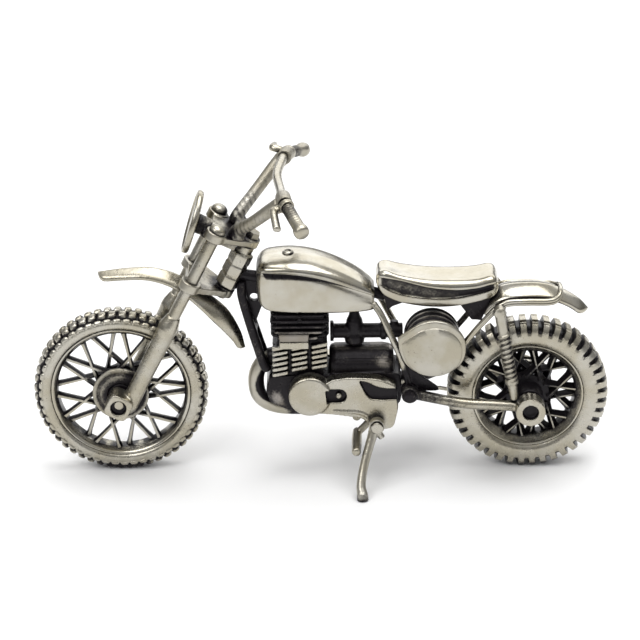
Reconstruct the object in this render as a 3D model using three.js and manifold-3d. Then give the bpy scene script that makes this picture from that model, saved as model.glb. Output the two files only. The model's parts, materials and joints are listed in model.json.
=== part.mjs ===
// A cast-metal miniature of a 1970s motocross motorcycle, built as separate pieces.
// Millimetres, +Z up. The nose points to -X and the rider's left side is -Y.
// The origin is on the ground, midway along the machine, in its middle plane.

import * as THREE from 'three';
import { mergeVertices } from 'three/addons/utils/BufferGeometryUtils.js';
import Module from 'manifold-3d';

const wasm = await Module();
wasm.setup();

// ---------------------------------------------------------------- driving dimensions

const GAP = 0.05; // between two pieces that are fixed to each other
const RUNNING = 0.1; // round a shaft that turns
const SIDES = [['left', -1], ['right', 1]];

const RAKE = THREE.MathUtils.degToRad(26.7); // steering axis, leaning back from vertical
const HEAD = { x: -17, z: 43.8, low: -3.7, top: 6.15, bore: 1.1 }; // heights along the axis
const LEG = { x: -7.2, y: 5.3, tube: 1.25, bottom: -20 }; // fork leg, from the axis
const CLAMPS = { lower: [-5.6, -3.85], upper: [6.3, 8] };

const FRONT = {
  name: 'front', x: -40.5, radius: 17.7, lugs: 52, lugHalf: 0.3, lugDepth: 1.1,
  bead: 14.3, beadHalf: 2.6, shoulder: 16.5, shoulderHalf: 2.6, crownHalf: 1.6,
  rimInner: 12.9, rimHalf: 2.3, hub: 4.7, spokeHub: 39, spokeGap: 4.2,
};
const REAR = {
  name: 'rear', x: 41.9, radius: 16.3, lugs: 42, lugHalf: 0.3, lugDepth: 1.25,
  bead: 11.45, beadHalf: 3.2, shoulder: 14.8, shoulderHalf: 3.2, crownHalf: 2,
  rimInner: 9.6, rimHalf: 2.8, hub: 4.4, spokeHub: 37, spokeGap: 5,
};
const AXLE_RADIUS = 1;
const SPOKE = { radius: 0.42, pairs: 12, flange: 1.5 };

const PIVOT = { x: 17.8, z: 19.6, radius: 0.9 }; // swingarm pivot
const STAND = { x: 11.2, z: 13.2, pin: 0.75, eye: [-9.8, -8], footX: 8.2, footY: -16 };

// A point of the machine as the steering group sees it, whose Z is the steering axis.
function inFork(x, y, z) {
  const dx = x - HEAD.x;
  const dz = z - HEAD.z;
  return new THREE.Vector3(
    dx * Math.cos(RAKE) - dz * Math.sin(RAKE), y, dx * Math.sin(RAKE) + dz * Math.cos(RAKE),
  );
}

const AXLE = inFork(FRONT.x, 0, FRONT.radius); // front axle, seen from the steering head

// ---------------------------------------------------------------- materials

function metal(color, roughness) {
  return new THREE.MeshStandardMaterial({ color, roughness, metalness: 1, flatShading: true });
}

const polished = metal(0xbfbcae, 0.25);
const satin = metal(0xa29f92, 0.42);
const textured = metal(0x7d7a70, 0.6);
const blackened = metal(0x2c2a2d, 0.5);

// ---------------------------------------------------------------- solids

const at = (x, y, z) => new THREE.Vector3(x, y, z);

// A closed geometry as a manifold solid, with its faces pointing out.
function solid(geometry) {
  const bare = new THREE.BufferGeometry();
  bare.setAttribute('position', geometry.getAttribute('position'));
  bare.setIndex(geometry.getIndex());
  const merged = mergeVertices(bare, 1e-4);
  const points = merged.getAttribute('position');
  const index = merged.getIndex().array;
  const corner = [at(0, 0, 0), at(0, 0, 0), at(0, 0, 0)];
  const faces = [];
  let volume = 0;
  for (let f = 0; f < index.length; f += 3) {
    const [a, b, c] = index.subarray(f, f + 3);
    if (a === b || b === c || c === a) continue;
    corner.forEach((v, k) => v.fromBufferAttribute(points, index[f + k]));
    volume += corner[0].dot(corner[1].clone().cross(corner[2]));
    faces.push([a, b, c]);
  }
  const wound = volume < 0 ? faces.map(([a, b, c]) => [a, c, b]) : faces;
  return new wasm.Manifold(new wasm.Mesh({
    numProp: 3,
    vertProperties: new Float32Array(points.array),
    triVerts: new Uint32Array(wound.flat()),
  }));
}

function join(...bodies) {
  return bodies.reduce((whole, body) => whole.add(body));
}

function cut(body, ...tools) {
  return tools.reduce((left, tool) => left.subtract(tool), body);
}

function piece(name, body, material) {
  const { vertProperties, triVerts } = body.getMesh();
  const geometry = new THREE.BufferGeometry();
  geometry.setAttribute('position', new THREE.Float32BufferAttribute(vertProperties, 3));
  geometry.setIndex(new THREE.Uint32BufferAttribute(triVerts, 1));
  geometry.computeVertexNormals();
  const mesh = new THREE.Mesh(geometry, material);
  mesh.name = name;
  return mesh;
}

// A round bar between two points, tapered when the second radius differs.
function rod(from, to, radius, endRadius = radius, sides = 10) {
  const along = to.clone().sub(from);
  const geometry = new THREE.CylinderGeometry(endRadius, radius, along.length(), sides);
  const turn = new THREE.Quaternion().setFromUnitVectors(at(0, 1, 0), along.normalize());
  const middle = from.clone().add(to).multiplyScalar(0.5);
  return solid(geometry.applyQuaternion(turn).translate(middle.x, middle.y, middle.z));
}

// A round bar across the machine, along Y.
function crossRod(x, z, y0, y1, radius, sides = 12) {
  return rod(at(x, y0, z), at(x, y1, z), radius, radius, sides);
}

function box(x, y, z) {
  const geometry = new THREE.BoxGeometry(x[1] - x[0], y[1] - y[0], z[1] - z[0]);
  return solid(geometry.translate((x[0] + x[1]) / 2, (y[0] + y[1]) / 2, (z[0] + z[1]) / 2));
}

// A round bar bent smoothly through the points.
function bentBar(points, radius, sides = 8, steps = 6) {
  const circle = new THREE.Shape();
  for (let k = 0; k < sides; k++) {
    const angle = (2 * Math.PI * k) / sides;
    const move = k ? 'lineTo' : 'moveTo';
    circle[move](radius * Math.cos(angle), radius * Math.sin(angle));
  }
  const path = new THREE.CatmullRomCurve3(points, false, 'centripetal');
  const length = steps * (points.length - 1);
  return solid(new THREE.ExtrudeGeometry(circle, { extrudePath: path, steps: length }));
}

// An outline in the XZ plane, made solid from y0 to y1.
function slab(outline, y0, y1, curveSegments = 6) {
  const shape = Array.isArray(outline) ? polygon(outline) : outline;
  const geometry = new THREE.ExtrudeGeometry(shape, {
    depth: y1 - y0, bevelEnabled: false, curveSegments,
  });
  return solid(geometry.rotateX(Math.PI / 2).translate(0, y1, 0));
}

// An outline in the XY plane, made solid from z0 to z1.
function deck(outline, z0, z1) {
  const geometry = new THREE.ExtrudeGeometry(polygon(outline), {
    depth: z1 - z0, bevelEnabled: false,
  });
  return solid(geometry.translate(0, 0, z0));
}

function polygon(points) {
  return new THREE.Shape(points.map(([x, y]) => new THREE.Vector2(x, y)));
}

// A closed outline whose corners are rounded by quadratic curves.
function rounded(points, share = 0.3) {
  const shape = new THREE.Shape();
  const corners = points.map(([x, y]) => new THREE.Vector2(x, y));
  corners.forEach((corner, k) => {
    const before = corners[(k + corners.length - 1) % corners.length];
    const after = corners[(k + 1) % corners.length];
    const enter = corner.clone().lerp(before, share);
    const leave = corner.clone().lerp(after, share);
    shape[k ? 'lineTo' : 'moveTo'](enter.x, enter.y);
    shape.quadraticCurveTo(corner.x, corner.y, leave.x, leave.y);
  });
  return shape;
}

// A profile of [radius, height] pairs turned about Y.
function turnedGeometry(profile, sides) {
  const closes = profile[0][0] > 0;
  const points = closes ? [...profile, profile[0]] : profile;
  return new THREE.LatheGeometry(points.map(([r, h]) => new THREE.Vector2(r, h)), sides);
}

function turned(profile, sides = 24, centre = at(0, 0, 0)) {
  return solid(turnedGeometry(profile, sides).translate(centre.x, centre.y, centre.z));
}

// The same, turned about Z.
function upright(profile, sides = 12, centre = at(0, 0, 0)) {
  const geometry = turnedGeometry(profile, sides).rotateX(Math.PI / 2);
  return solid(geometry.translate(centre.x, centre.y, centre.z));
}

function signedArea(ring) {
  return ring.reduce((sum, [x, y], k) => {
    const [nextX, nextY] = ring[(k + 1) % ring.length];
    return sum + x * nextY - nextX * y;
  }, 0);
}

// The triangles that close one end of a loft; forward keeps the ring's own direction.
function endFaces(ring, first, forward) {
  const contour = ring.map(([x, y]) => new THREE.Vector2(x, y));
  const direction = Math.sign(signedArea(ring)) * (forward ? 1 : -1);
  return THREE.ShapeUtils.triangulateShape(contour, []).flatMap((face) => {
    const agrees = Math.sign(signedArea(face.map((k) => ring[k]))) === direction;
    return (agrees ? face : [...face].reverse()).map((k) => first + k);
  });
}

// A skin over stations: each is a point, an up direction, and a ring of [across, up] pairs.
function loft(stations) {
  const count = stations[0].ring.length;
  const vertices = stations.flatMap(({ point, up, ring }) => ring.flatMap(
    ([across, rise]) => [point.x + up.x * rise, point.y + across, point.z + up.z * rise],
  ));
  const faces = [];
  for (let s = 0; s + 1 < stations.length; s++) {
    for (let k = 0; k < count; k++) {
      const a = s * count + k;
      const b = s * count + (k + 1) % count;
      faces.push(a, b, b + count, a, b + count, a + count);
    }
  }
  const last = stations.length - 1;
  faces.push(...endFaces(stations[0].ring, 0, false));
  faces.push(...endFaces(stations[last].ring, last * count, true));
  const geometry = new THREE.BufferGeometry();
  geometry.setAttribute('position', new THREE.Float32BufferAttribute(vertices, 3));
  geometry.setIndex(faces);
  return solid(geometry);
}

// Both halves of a ring that is the same left and right; the half runs from bottom to top.
function mirrored(half) {
  const inside = half.filter(([across]) => across > 0);
  return [...half, ...inside.reverse().map(([across, rise]) => [-across, rise])];
}

// ---------------------------------------------------------------- wheels

// One section of the tyre. Its tread point lies at its own angle, and drop below the lugs'
// tops. Its wall points lie at the middle of the lug, where the sections of one lug meet.
function tyreSection(w, angle, middle, drop) {
  const top = w.radius / Math.cos((2 * Math.PI * w.lugHalf) / w.lugs) - drop;
  const half = [
    [w.bead, w.beadHalf, middle], [w.shoulder, w.shoulderHalf, middle], [top, w.crownHalf, angle],
  ];
  const ring = [...half, ...half.map(([r, y, turn]) => [r, -y, turn]).reverse()];
  return ring.flatMap(([r, y, turn]) => [r * Math.cos(turn), y, r * Math.sin(turn)]);
}

function tyre(w) {
  const pitch = (2 * Math.PI) / w.lugs;
  const vertices = [];
  for (let k = 0; k < w.lugs; k++) {
    const middle = k * pitch - Math.PI / 2;
    vertices.push(...tyreSection(w, middle - w.lugHalf * pitch, middle, 0));
    vertices.push(...tyreSection(w, middle + w.lugHalf * pitch, middle, 0));
    vertices.push(...tyreSection(w, middle + pitch / 2, middle, w.lugDepth));
  }
  const count = 6;
  const total = vertices.length / 3;
  const faces = [];
  for (let a = 0; a < total; a++) {
    const section = a - (a % count);
    const b = section + ((a + 1) % count);
    const nextA = (a + count) % total;
    const nextB = (b + count) % total;
    faces.push(a, b, nextB, a, nextB, nextA);
  }
  const geometry = new THREE.BufferGeometry();
  geometry.setAttribute('position', new THREE.Float32BufferAttribute(vertices, 3));
  geometry.setIndex(faces);
  return solid(geometry);
}

const RIM_SIDES = 24;

// A channel open to the tyre, with a lip at each side.
function rim(w) {
  const outer = w.bead - 0.15;
  const half = [
    [w.rimInner, 0.6 * w.rimHalf], [outer - 0.4, w.rimHalf], [outer, w.rimHalf],
    [outer, w.rimHalf - 0.35], [outer - 0.75, 0.5 * w.rimHalf],
  ];
  return turned([...half, ...half.map(([r, y]) => [r, -y]).reverse()], RIM_SIDES);
}

// Paired spokes cross the next pair's on their way to the hub's two flanges. A narrow band
// just inside the rim holds their outer ends.
function spokes(w) {
  const inner = w.hub + 0.4;
  const outer = w.rimInner - 0.3;
  const bars = [];
  for (let k = 0; k < SPOKE.pairs; k++) {
    const apex = (2 * Math.PI * k) / SPOKE.pairs;
    for (const lean of [-1, 1]) {
      const side = (lean > 0 ? k : k - 1) % 2 === 0 ? -1 : 1;
      const rimAngle = apex + lean * THREE.MathUtils.degToRad(w.spokeGap);
      const hubAngle = apex + lean * THREE.MathUtils.degToRad(w.spokeHub);
      const from = at(inner * Math.cos(hubAngle), side * SPOKE.flange, inner * Math.sin(hubAngle));
      const to = at(outer * Math.cos(rimAngle), 0, outer * Math.sin(rimAngle));
      bars.push(rod(from, to, SPOKE.radius * 1.2, SPOKE.radius, 4));
    }
  }
  const edge = w.rimInner - GAP;
  const rise = SPOKE.radius * 1.4;
  const band = [[edge - 0.5, -rise], [edge, -rise], [edge, rise], [edge - 0.5, rise]];
  return join(turned(band, RIM_SIDES), ...bars);
}

// The barrel that turns on the axle, with a flange each side for the spokes.
function hub(w, left, right, barrel) {
  const bore = AXLE_RADIUS + RUNNING;
  const flangeOut = SPOKE.flange + 0.55;
  const flangeIn = SPOKE.flange - 0.55;
  return turned([
    [bore, left], [barrel, left], [barrel, -flangeOut], [w.hub, -flangeOut], [w.hub, -flangeIn],
    [barrel, -flangeIn + 0.3], [barrel, flangeIn - 0.3], [w.hub, flangeIn], [w.hub, flangeOut],
    [barrel, flangeOut], [barrel, right], [bore, right],
  ], RIM_SIDES / 2);
}

function wheel(w, hubBody, extras) {
  const group = new THREE.Group();
  group.position.set(w.x, 0, w.radius);
  group.add(
    piece(`${w.name}_tyre`, tyre(w), satin),
    piece(`${w.name}_rim`, rim(w), polished),
    piece(`${w.name}_spokes`, spokes(w), textured),
    piece(`${w.name}_hub`, hubBody, blackened),
    ...extras,
  );
  return group;
}

function frontWheel() {
  const barrel = 2.6;
  const drum = turned([
    [barrel + GAP, -2.15], [5.7, -2.15], [5.7, -3], [4.6, -3.35], [barrel + GAP, -3.35],
  ], RIM_SIDES);
  const body = hub(FRONT, -3.4, 3.4, barrel);
  return wheel(FRONT, body, [piece('front_brake_drum', drum, textured)]);
}

const SPROCKET = { radius: 4.6, y: [4.5, 4.95], teeth: 18 };

function sprocket(barrel) {
  const points = [];
  for (let k = 0; k < SPROCKET.teeth; k++) {
    for (const [shift, r] of [[0, SPROCKET.radius], [0.5, SPROCKET.radius - 0.45]]) {
      const angle = ((k + shift) * 2 * Math.PI) / SPROCKET.teeth;
      points.push([r * Math.cos(angle), r * Math.sin(angle)]);
    }
  }
  const middle = crossRod(0, 0, 0, 6, barrel + GAP, RIM_SIDES / 2);
  return cut(slab(points, ...SPROCKET.y), middle);
}

function rearWheel() {
  const barrel = 3.1;
  const body = hub(REAR, -6.3, 6.2, barrel);
  return wheel(REAR, body, [piece('rear_sprocket', sprocket(barrel), textured)]);
}

// ---------------------------------------------------------------- steering

function steeringStem() {
  const shaft = rod(at(0, 0, -6.4), at(0, 0, 8.4), HEAD.bore - RUNNING);
  const nut = rod(at(0, 0, 8.06), at(0, 0, 9.3), 1.7, 1.5, 6);
  return join(shaft, nut);
}

function clamp([low, high]) {
  const outline = [
    [-8.2, 5.3], [-8.2, -5.3], [-6.4, -7.1], [0.6, -2.2], [0.6, 2.2], [-6.4, 7.1],
  ];
  const legs = SIDES.map(([, s]) => [at(LEG.x, s * LEG.y, low), at(LEG.x, s * LEG.y, high)]);
  const middle = [at(0, 0, low), at(0, 0, high)];
  const bosses = [...legs, middle].map(([a, b]) => rod(a, b, 2.1, 2.1, 16));
  const reach = at(0, 0, 1);
  const bores = legs.map(([a, b]) => rod(a.sub(reach), b.add(reach), LEG.tube + 2 * GAP));
  bores.push(rod(at(0, 0, low - 1), at(0, 0, high + 1), HEAD.bore - RUNNING + GAP));
  return cut(join(deck(outline, low, high), ...bosses), ...bores);
}

// The chromed upper leg, with its domed cap standing on the upper clamp.
function forkTube(s) {
  const r = LEG.tube;
  const cap = CLAMPS.upper[1] + GAP;
  return upright([
    [0, LEG.bottom], [r, LEG.bottom], [r, cap], [1.6, cap], [1.65, cap + 0.8], [1.3, cap + 1.4],
    [0.7, cap + 1.75], [0, cap + 1.85],
  ], 12, at(LEG.x, s * LEG.y, 0));
}

// The lower leg: a bored slider whose foot carries the axle ahead of the leg.
function forkSlider(s) {
  const bore = LEG.tube + GAP;
  const leg = upright([
    [0, -35.6], [1.4, -35.6], [1.9, -34], [1.75, -27], [1.95, -16.5], [2.25, -14.6],
    [2.25, -12.6], [1.9, -12.1], [bore, -12.1], [bore, LEG.bottom - 0.3], [0, LEG.bottom - 0.3],
  ], 12, at(LEG.x, s * LEG.y, 0));
  const half = 2.7;
  const [inner, outer] = [3.65, 8.3];
  const square = rounded([[-1, -1], [1, -1], [1, 1], [-1, 1]].map(
    ([x, z]) => [AXLE.x + half * x, AXLE.z + half * z],
  ), 0.2);
  const span = (a, b) => [Math.min(s * a, s * b), Math.max(s * a, s * b)];
  const foot = slab(square, ...span(inner, outer), 2);
  const bored = crossRod(AXLE.x, AXLE.z, ...span(0, 10), AXLE_RADIUS + GAP);
  const recess = crossRod(AXLE.x, AXLE.z, ...span(7.4, 10), 1.65);
  return cut(join(leg, foot), bored, recess);
}

function frontAxle() {
  return crossRod(AXLE.x, AXLE.z, -8.1, 8.1, AXLE_RADIUS);
}

const PLATE = {
  x: -24.8, z: 54.2, lean: THREE.MathUtils.degToRad(17.4), radius: 6.6, narrow: 0.86,
};

// An oval plate with a raised edge, facing forward.
function numberPlate(extra = 0) {
  const r = PLATE.radius + extra;
  const back = -0.7 - extra;
  const face = turnedGeometry([
    [0, back], [r - 0.4, back], [r, back + 0.35], [r, 0.35], [r - 0.4, 0.65], [r - 0.9, 0.35],
    [0, 0.5],
  ], 20);
  const centre = inFork(PLATE.x, 0, PLATE.z);
  face.rotateZ(Math.PI / 2).scale(1, PLATE.narrow, 1).rotateY(PLATE.lean - RAKE);
  return solid(face.translate(centre.x, centre.y, centre.z));
}

function plateBracket() {
  const plate = inFork(PLATE.x, 0, PLATE.z);
  const behind = at(plate.x + 0.78, 0, plate.z - 1.4);
  const stub = rod(behind, at(-6.9, 0, behind.z + 0.2), 2, 1.8);
  const under = CLAMPS.upper[0] - GAP;
  const strap = box([-9.4, -3], [-1.4, 1.4], [under - 1.5, under]);
  return cut(join(stub, strap), box([-12, 0], [-6, 6], [under, under + 6]), numberPlate(GAP));
}

// A thin arched blade along a path; widths are half-widths at each station.
function blade(points, widths, thickness, arch, ridge) {
  const path = new THREE.CatmullRomCurve3(points, false, 'centripetal');
  const last = widths.length - 1;
  return loft(widths.map((w, k) => {
    const along = path.getTangentAt(k / last);
    const up = at(-along.z, 0, along.x);
    const half = [
      [0, -thickness], [0.6 * w, -thickness - 0.25 * arch * w], [0.93 * w, -thickness - arch * w],
      [w, -arch * w], [0.6 * w, -0.25 * arch * w], [0, ridge],
    ];
    return { point: path.getPointAt(k / last), up, ring: mirrored(half) };
  }));
}

function frontFender() {
  const route = [
    [-44, 43.4], [-38.5, 44.1], [-33.6, 44.2], [-28.7, 42.8], [-24.6, 40], [-19.2, 35.6],
    [-16.4, 30.6], [-15.4, 26.6],
  ];
  const widths = [0.6, 1.5, 2.1, 2.4, 2.6, 2.8, 2.9, 3, 3, 2.6, 1.9, 0.7];
  const body = blade(route.map(([x, z]) => inFork(x, 0, z)), widths, 0.7, 0.35, 0.35);
  const foot = rod(at(0, 0, -6.5), at(0, 0, -12), 1.1);
  return cut(body, foot);
}

// Handlebar: one bar from grip to grip, bowed between the risers.
const BAR = {
  radius: 0.9, half: [[-8, 0, 63.9], [-7.3, 7, 63.8], [-6.3, 13.3, 63.3], [-3.2, 21.2, 60.9]],
};

function barPoint(k, s) {
  const [x, y, z] = BAR.half[k];
  return inFork(x, s * y, z);
}

function handlebar(extra = 0) {
  const points = [3, 2, 1].map((k) => barPoint(k, -1));
  points.push(barPoint(0, 1), ...[1, 2, 3].map((k) => barPoint(k, 1)));
  return bentBar(points, BAR.radius + extra, 8, 2);
}

// The thick top of a riser, clamped round the bar.
function knuckle(s, extra = 0) {
  const from = barPoint(1, s).lerp(barPoint(2, s), 0.45);
  const to = barPoint(2, s).lerp(barPoint(3, s), extra / 8);
  return rod(from, to, 1.55 + extra);
}

function riser(s) {
  const base = CLAMPS.upper[1] + GAP;
  const points = [
    at(-3.2, s * 3.6, base - 1), at(-3.5, s * 3.9, base + 1), inFork(-12.9, s * 7.5, 57),
    inFork(-9.2, s * 10.6, 60.9), inFork(-7.3, s * 12, 62.6),
  ];
  const seat = box([-8, 2], [-9, 9], [base - 4, base]);
  return cut(join(bentBar(points, 1.4, 8, 2), knuckle(s)), seat, handlebar(GAP));
}

// Both risers stand on one bridge that is bolted to the upper clamp.
function risers() {
  const height = CLAMPS.upper[1] + GAP + 0.9;
  const bridge = rod(at(-3.1, -3.7, height), at(-3.1, 3.7, height), 0.9);
  return join(bridge, riser(-1), riser(1));
}

function grip(s) {
  const from = barPoint(2, s).lerp(barPoint(3, s), 0.16);
  const along = barPoint(3, s).sub(barPoint(2, s)).normalize();
  const end = barPoint(3, s).addScaledVector(along, 0.9);
  const flare = end.clone().addScaledVector(along, -1.9);
  return cut(join(rod(from, end, 1.25, 1.35), rod(flare, end, 1.4, 1.6)), handlebar(GAP));
}

const LEVER_ROUTE = {
  clutch: [[-6.2, 14, 63], [-8.1, 14, 62.4], [-8.4, 15.2, 62.1], [-7.8, 19.4, 60.7]],
  brake: [[-6.4, 14, 63.3], [-8.7, 14, 64.2], [-9.2, 15.2, 64], [-9, 19.4, 62.7]],
};

// A ring on the bar beside the grip carries the lever ahead of it.
function lever(s, route) {
  const from = barPoint(2, s).lerp(barPoint(3, s), 0.03);
  const to = barPoint(2, s).lerp(barPoint(3, s), 0.145);
  const blank = bentBar(route.map(([x, y, z]) => inFork(x, s * y, z)), 0.65, 5, 2);
  return cut(join(rod(from, to, 1.5), blank), handlebar(GAP), knuckle(s, GAP));
}

function steering() {
  const group = new THREE.Group();
  group.position.set(HEAD.x, 0, HEAD.z);
  group.rotation.y = RAKE;
  group.add(
    piece('steering_stem', steeringStem(), blackened),
    piece('lower_clamp', clamp(CLAMPS.lower), satin),
    piece('upper_clamp', clamp(CLAMPS.upper), satin),
    piece('front_axle', frontAxle(), polished),
    piece('bar_risers', risers(), textured),
    piece('number_plate', numberPlate(), polished),
    piece('plate_bracket', plateBracket(), blackened),
    piece('front_fender', frontFender(), satin),
    piece('handlebar', handlebar(), polished),
    piece('clutch_lever', lever(-1, LEVER_ROUTE.clutch), polished),
    piece('brake_lever', lever(1, LEVER_ROUTE.brake), polished),
  );
  for (const [side, s] of SIDES) {
    group.add(
      piece(`fork_tube_${side}`, forkTube(s), polished),
      piece(`fork_slider_${side}`, forkSlider(s), polished),
      piece(`grip_${side}`, grip(s), satin),
    );
  }
  return group;
}

// ---------------------------------------------------------------- frame

// Three ribbed rings between the clamps, in the steering axis's own group.
function headTube() {
  const rings = [0, 1, 2].flatMap((k) => {
    const low = HEAD.low + 2.75 * k;
    return [[2.05, low], [2.4, low + 0.3], [2.4, low + 2.2], [2.05, low + 2.6]];
  });
  return upright([
    [HEAD.bore, HEAD.low], ...rings, [1.7, 4.7], [1.7, HEAD.top], [HEAD.bore, HEAD.top],
  ], 12);
}

// What the frame's tubes must stay clear of at the steering head.
function headSpace() {
  const axis = at(Math.sin(RAKE), 0, Math.cos(RAKE));
  const centre = at(HEAD.x, 0, HEAD.z);
  const from = centre.clone().addScaledVector(axis, -9);
  return rod(from, centre.addScaledVector(axis, 10), 2.4 + GAP, 2.4 + GAP, 24);
}

function backbone(extra = 0) {
  const points = [at(-16.5, 0, 43), at(-4, 0, 41), at(9, 0, 38.9), at(12.9, 0, 37.9)];
  return cut(bentBar(points, 1.15 + extra, 8, 2), headSpace());
}

function downtube(s) {
  const points = [
    at(-16.8, s * 1.7, 41.6), at(-15.4, s * 1.8, 38.6), at(-11.8, s * 2.6, 25.2),
    at(-8.6, s * 2.8, 20.4),
  ];
  return cut(bentBar(points, 0.95, 8, 1), headSpace(), crankcase(GAP), backbone(GAP));
}

function downtubes() {
  const bridge = rod(at(-13.3, -2.3, 30.8), at(-13.3, 2.3, 30.8), 0.7);
  return join(downtube(-1), downtube(1), bridge);
}

function headGusset() {
  const web = rounded([[-16, 41.8], [-11.4, 41.6], [-11.2, 37], [-13.2, 31.6]], 0.12);
  const hole = crossRod(-13.1, 38, -2, 2, 0.85, 8);
  const tubes = SIDES.map(([, s]) => rod(at(-16.8, s * 1.7, 41.6), at(-11.8, s * 2.6, 25.2), 1.1));
  return cut(slab(web, -0.75, 0.75, 3), hole, headSpace(), ...tubes);
}

const STRUT = { radius: 0.7, y: 5.8, eye: [5.1, 6.5], plate: [5.4, 6] };

// From under the seat's nose down each side to the swingarm pivot, with a gusset behind its foot.
function strut(s) {
  const points = [
    at(12.7, s * 1.35, 36.9), at(12.3, s * 3.6, 35.9), at(13.8, s * 4.9, 32),
    at(16, s * STRUT.y, 27), at(PIVOT.x, s * STRUT.y, PIVOT.z + 1),
  ];
  const ends = STRUT.eye.map((y) => s * y).sort((a, b) => a - b);
  const eye = crossRod(PIVOT.x, PIVOT.z, ...ends, 1.7);
  const bore = crossRod(PIVOT.x, PIVOT.z, -12, 12, PIVOT.radius + GAP);
  const plate = STRUT.plate.map((y) => s * y).sort((a, b) => a - b);
  const gusset = slab(rounded([
    [16.2, 26.2], [18, 24.4], [23.4, 20.3], [23.8, 19.4], [19.4, 19.2], [17.4, 19.6],
  ], 0.2), plate[0], plate[1], 3);
  return cut(join(bentBar(points, STRUT.radius, 8, 2), eye, gusset), bore, backbone(GAP));
}

// The tube that runs up beside the rear fender and loops round behind it.
function loopTube(extra = 0) {
  const half = [
    [28.9, 5.3, 29.7], [32.3, 5.2, 34], [36.2, 4.9, 37.6], [40.5, 4.75, 38.1], [45.4, 4.5, 38],
    [47.3, 3.3, 38.2], [48, 1.5, 38.8],
  ];
  const points = half.map(([x, y, z]) => at(x, -y, z));
  points.push(...half.reverse().map(([x, y, z]) => at(x, y, z)));
  return bentBar(points, 0.72 + extra, 8, 1);
}

function pivotShaft() {
  const heads = SIDES.map(([, s]) => rod(
    at(PIVOT.x, s * 8.9, PIVOT.z), at(PIVOT.x, s * 9.7, PIVOT.z), 1.3, 1.1, 12,
  ));
  return join(crossRod(PIVOT.x, PIVOT.z, -9, 9, PIVOT.radius), ...heads);
}

const ARM_Y = 7.6;
const ARM_BEND = { x: 28, z: 17.4, radius: 1.05 };
const BOSS = { radius: 3, y: [7, 10.4], recess: 1.6 };

// One arm: an eye on the pivot, a tapered tube, and the boss that holds the rear axle.
function swingArm(s) {
  const range = (a, b) => [s * a, s * b].sort((p, q) => p - q);
  const from = at(PIVOT.x, s * ARM_Y, PIVOT.z);
  const to = at(REAR.x, s * ARM_Y, REAR.radius);
  const bend = at(ARM_BEND.x, s * ARM_Y, ARM_BEND.z);
  const arm = join(rod(from, bend, 1.05), rod(bend, to, 1.05, 1.2));
  const eye = crossRod(PIVOT.x, PIVOT.z, ...range(ARM_Y - 1, ARM_Y + 1.2), 1.7);
  const boss = crossRod(REAR.x, REAR.radius, ...range(...BOSS.y), BOSS.radius, 16);
  const knee = crossRod(ARM_BEND.x, ARM_BEND.z, ...range(ARM_Y - 0.6, ARM_Y + 0.6), ARM_BEND.radius);
  const body = join(arm, eye, boss, knee);
  return cut(
    body,
    crossRod(REAR.x, REAR.radius, ...range(BOSS.y[1] - 1.3, 12), BOSS.recess),
    crossRod(REAR.x, REAR.radius, ...range(0, 12), AXLE_RADIUS + GAP),
    crossRod(PIVOT.x, PIVOT.z, ...range(0, 12), PIVOT.radius + GAP),
  );
}

function rearAxle() {
  return crossRod(REAR.x, REAR.radius, -9.7, 9.7, AXLE_RADIUS);
}

const SPRING = { coils: 8, pitch: 1.35, start: 5.2, inner: 1.1, outer: 1.4 };

// A damper inside its spring, from the fender loop down to the swingarm.
function shock(s) {
  const top = at(35.5, s * 6.9, 37.1);
  const foot = at(38.9, s * ARM_Y, 17.9);
  const along = foot.clone().sub(top);
  const place = (share) => top.clone().addScaledVector(along, share);
  const { coils, pitch, start, inner, outer } = SPRING;
  const spring = [];
  for (let k = 0; k < coils; k++) {
    spring.push([inner, start + pitch * k], [outer, start + pitch * (k + 0.5)]);
  }
  const end = start + pitch * coils;
  const sleeve = turnedGeometry([[0, start - 0.2], ...spring, [inner, end], [0, end + 0.2]], 8);
  const turn = new THREE.Quaternion().setFromUnitVectors(at(0, 1, 0), along.clone().normalize());
  const coil = solid(sleeve.applyQuaternion(turn).translate(top.x, top.y, top.z));
  const upper = rod(place(0), place(0.3), 1.15, 1);
  const lower = rod(place(0.8), place(1), 1.25, 1.1);
  const reach = [s * 5.8, s * 7.9].sort((a, b) => a - b);
  const pin = crossRod(top.x, top.z, ...reach, 1.15, 12);
  return cut(join(coil, upper, lower, pin), swingArmSpace(s), loopTube(GAP));
}

function swingArmSpace(s) {
  const ends = BOSS.y.map((y) => s * y).sort((a, b) => a - b);
  const boss = crossRod(REAR.x, REAR.radius, ...ends, BOSS.radius + GAP, 16);
  const from = at(ARM_BEND.x, s * ARM_Y, ARM_BEND.z);
  const to = at(REAR.x, s * ARM_Y, REAR.radius);
  return join(boss, rod(from, to, ARM_BEND.radius + GAP, 1.2 + GAP));
}

// ---------------------------------------------------------------- bodywork

const TANK = [ // x, top, crease, bottom, half-width at the lip, inset below the lip
  [-12.6, 45.4, 44.2, 39.2, 2.9, 0.1],
  [-11.9, 46.5, 45.1, 37.6, 4.6, 0.5],
  [-9.6, 47.1, 45.4, 36.5, 5.6, 0.6],
  [-5.6, 47.4, 45.3, 36.3, 6, 0.6],
  [-1, 46.8, 44.5, 36.2, 5.9, 0.45],
  [3.4, 45.3, 43, 36, 5.4, 0.3],
  [7.4, 43.2, 41.2, 35.9, 4.7, 0.15],
  [10.2, 41.1, 39.9, 35.8, 3.9, 0.1],
  [10.9, 40, 39.2, 36, 3.2, 0.1],
];

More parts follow.
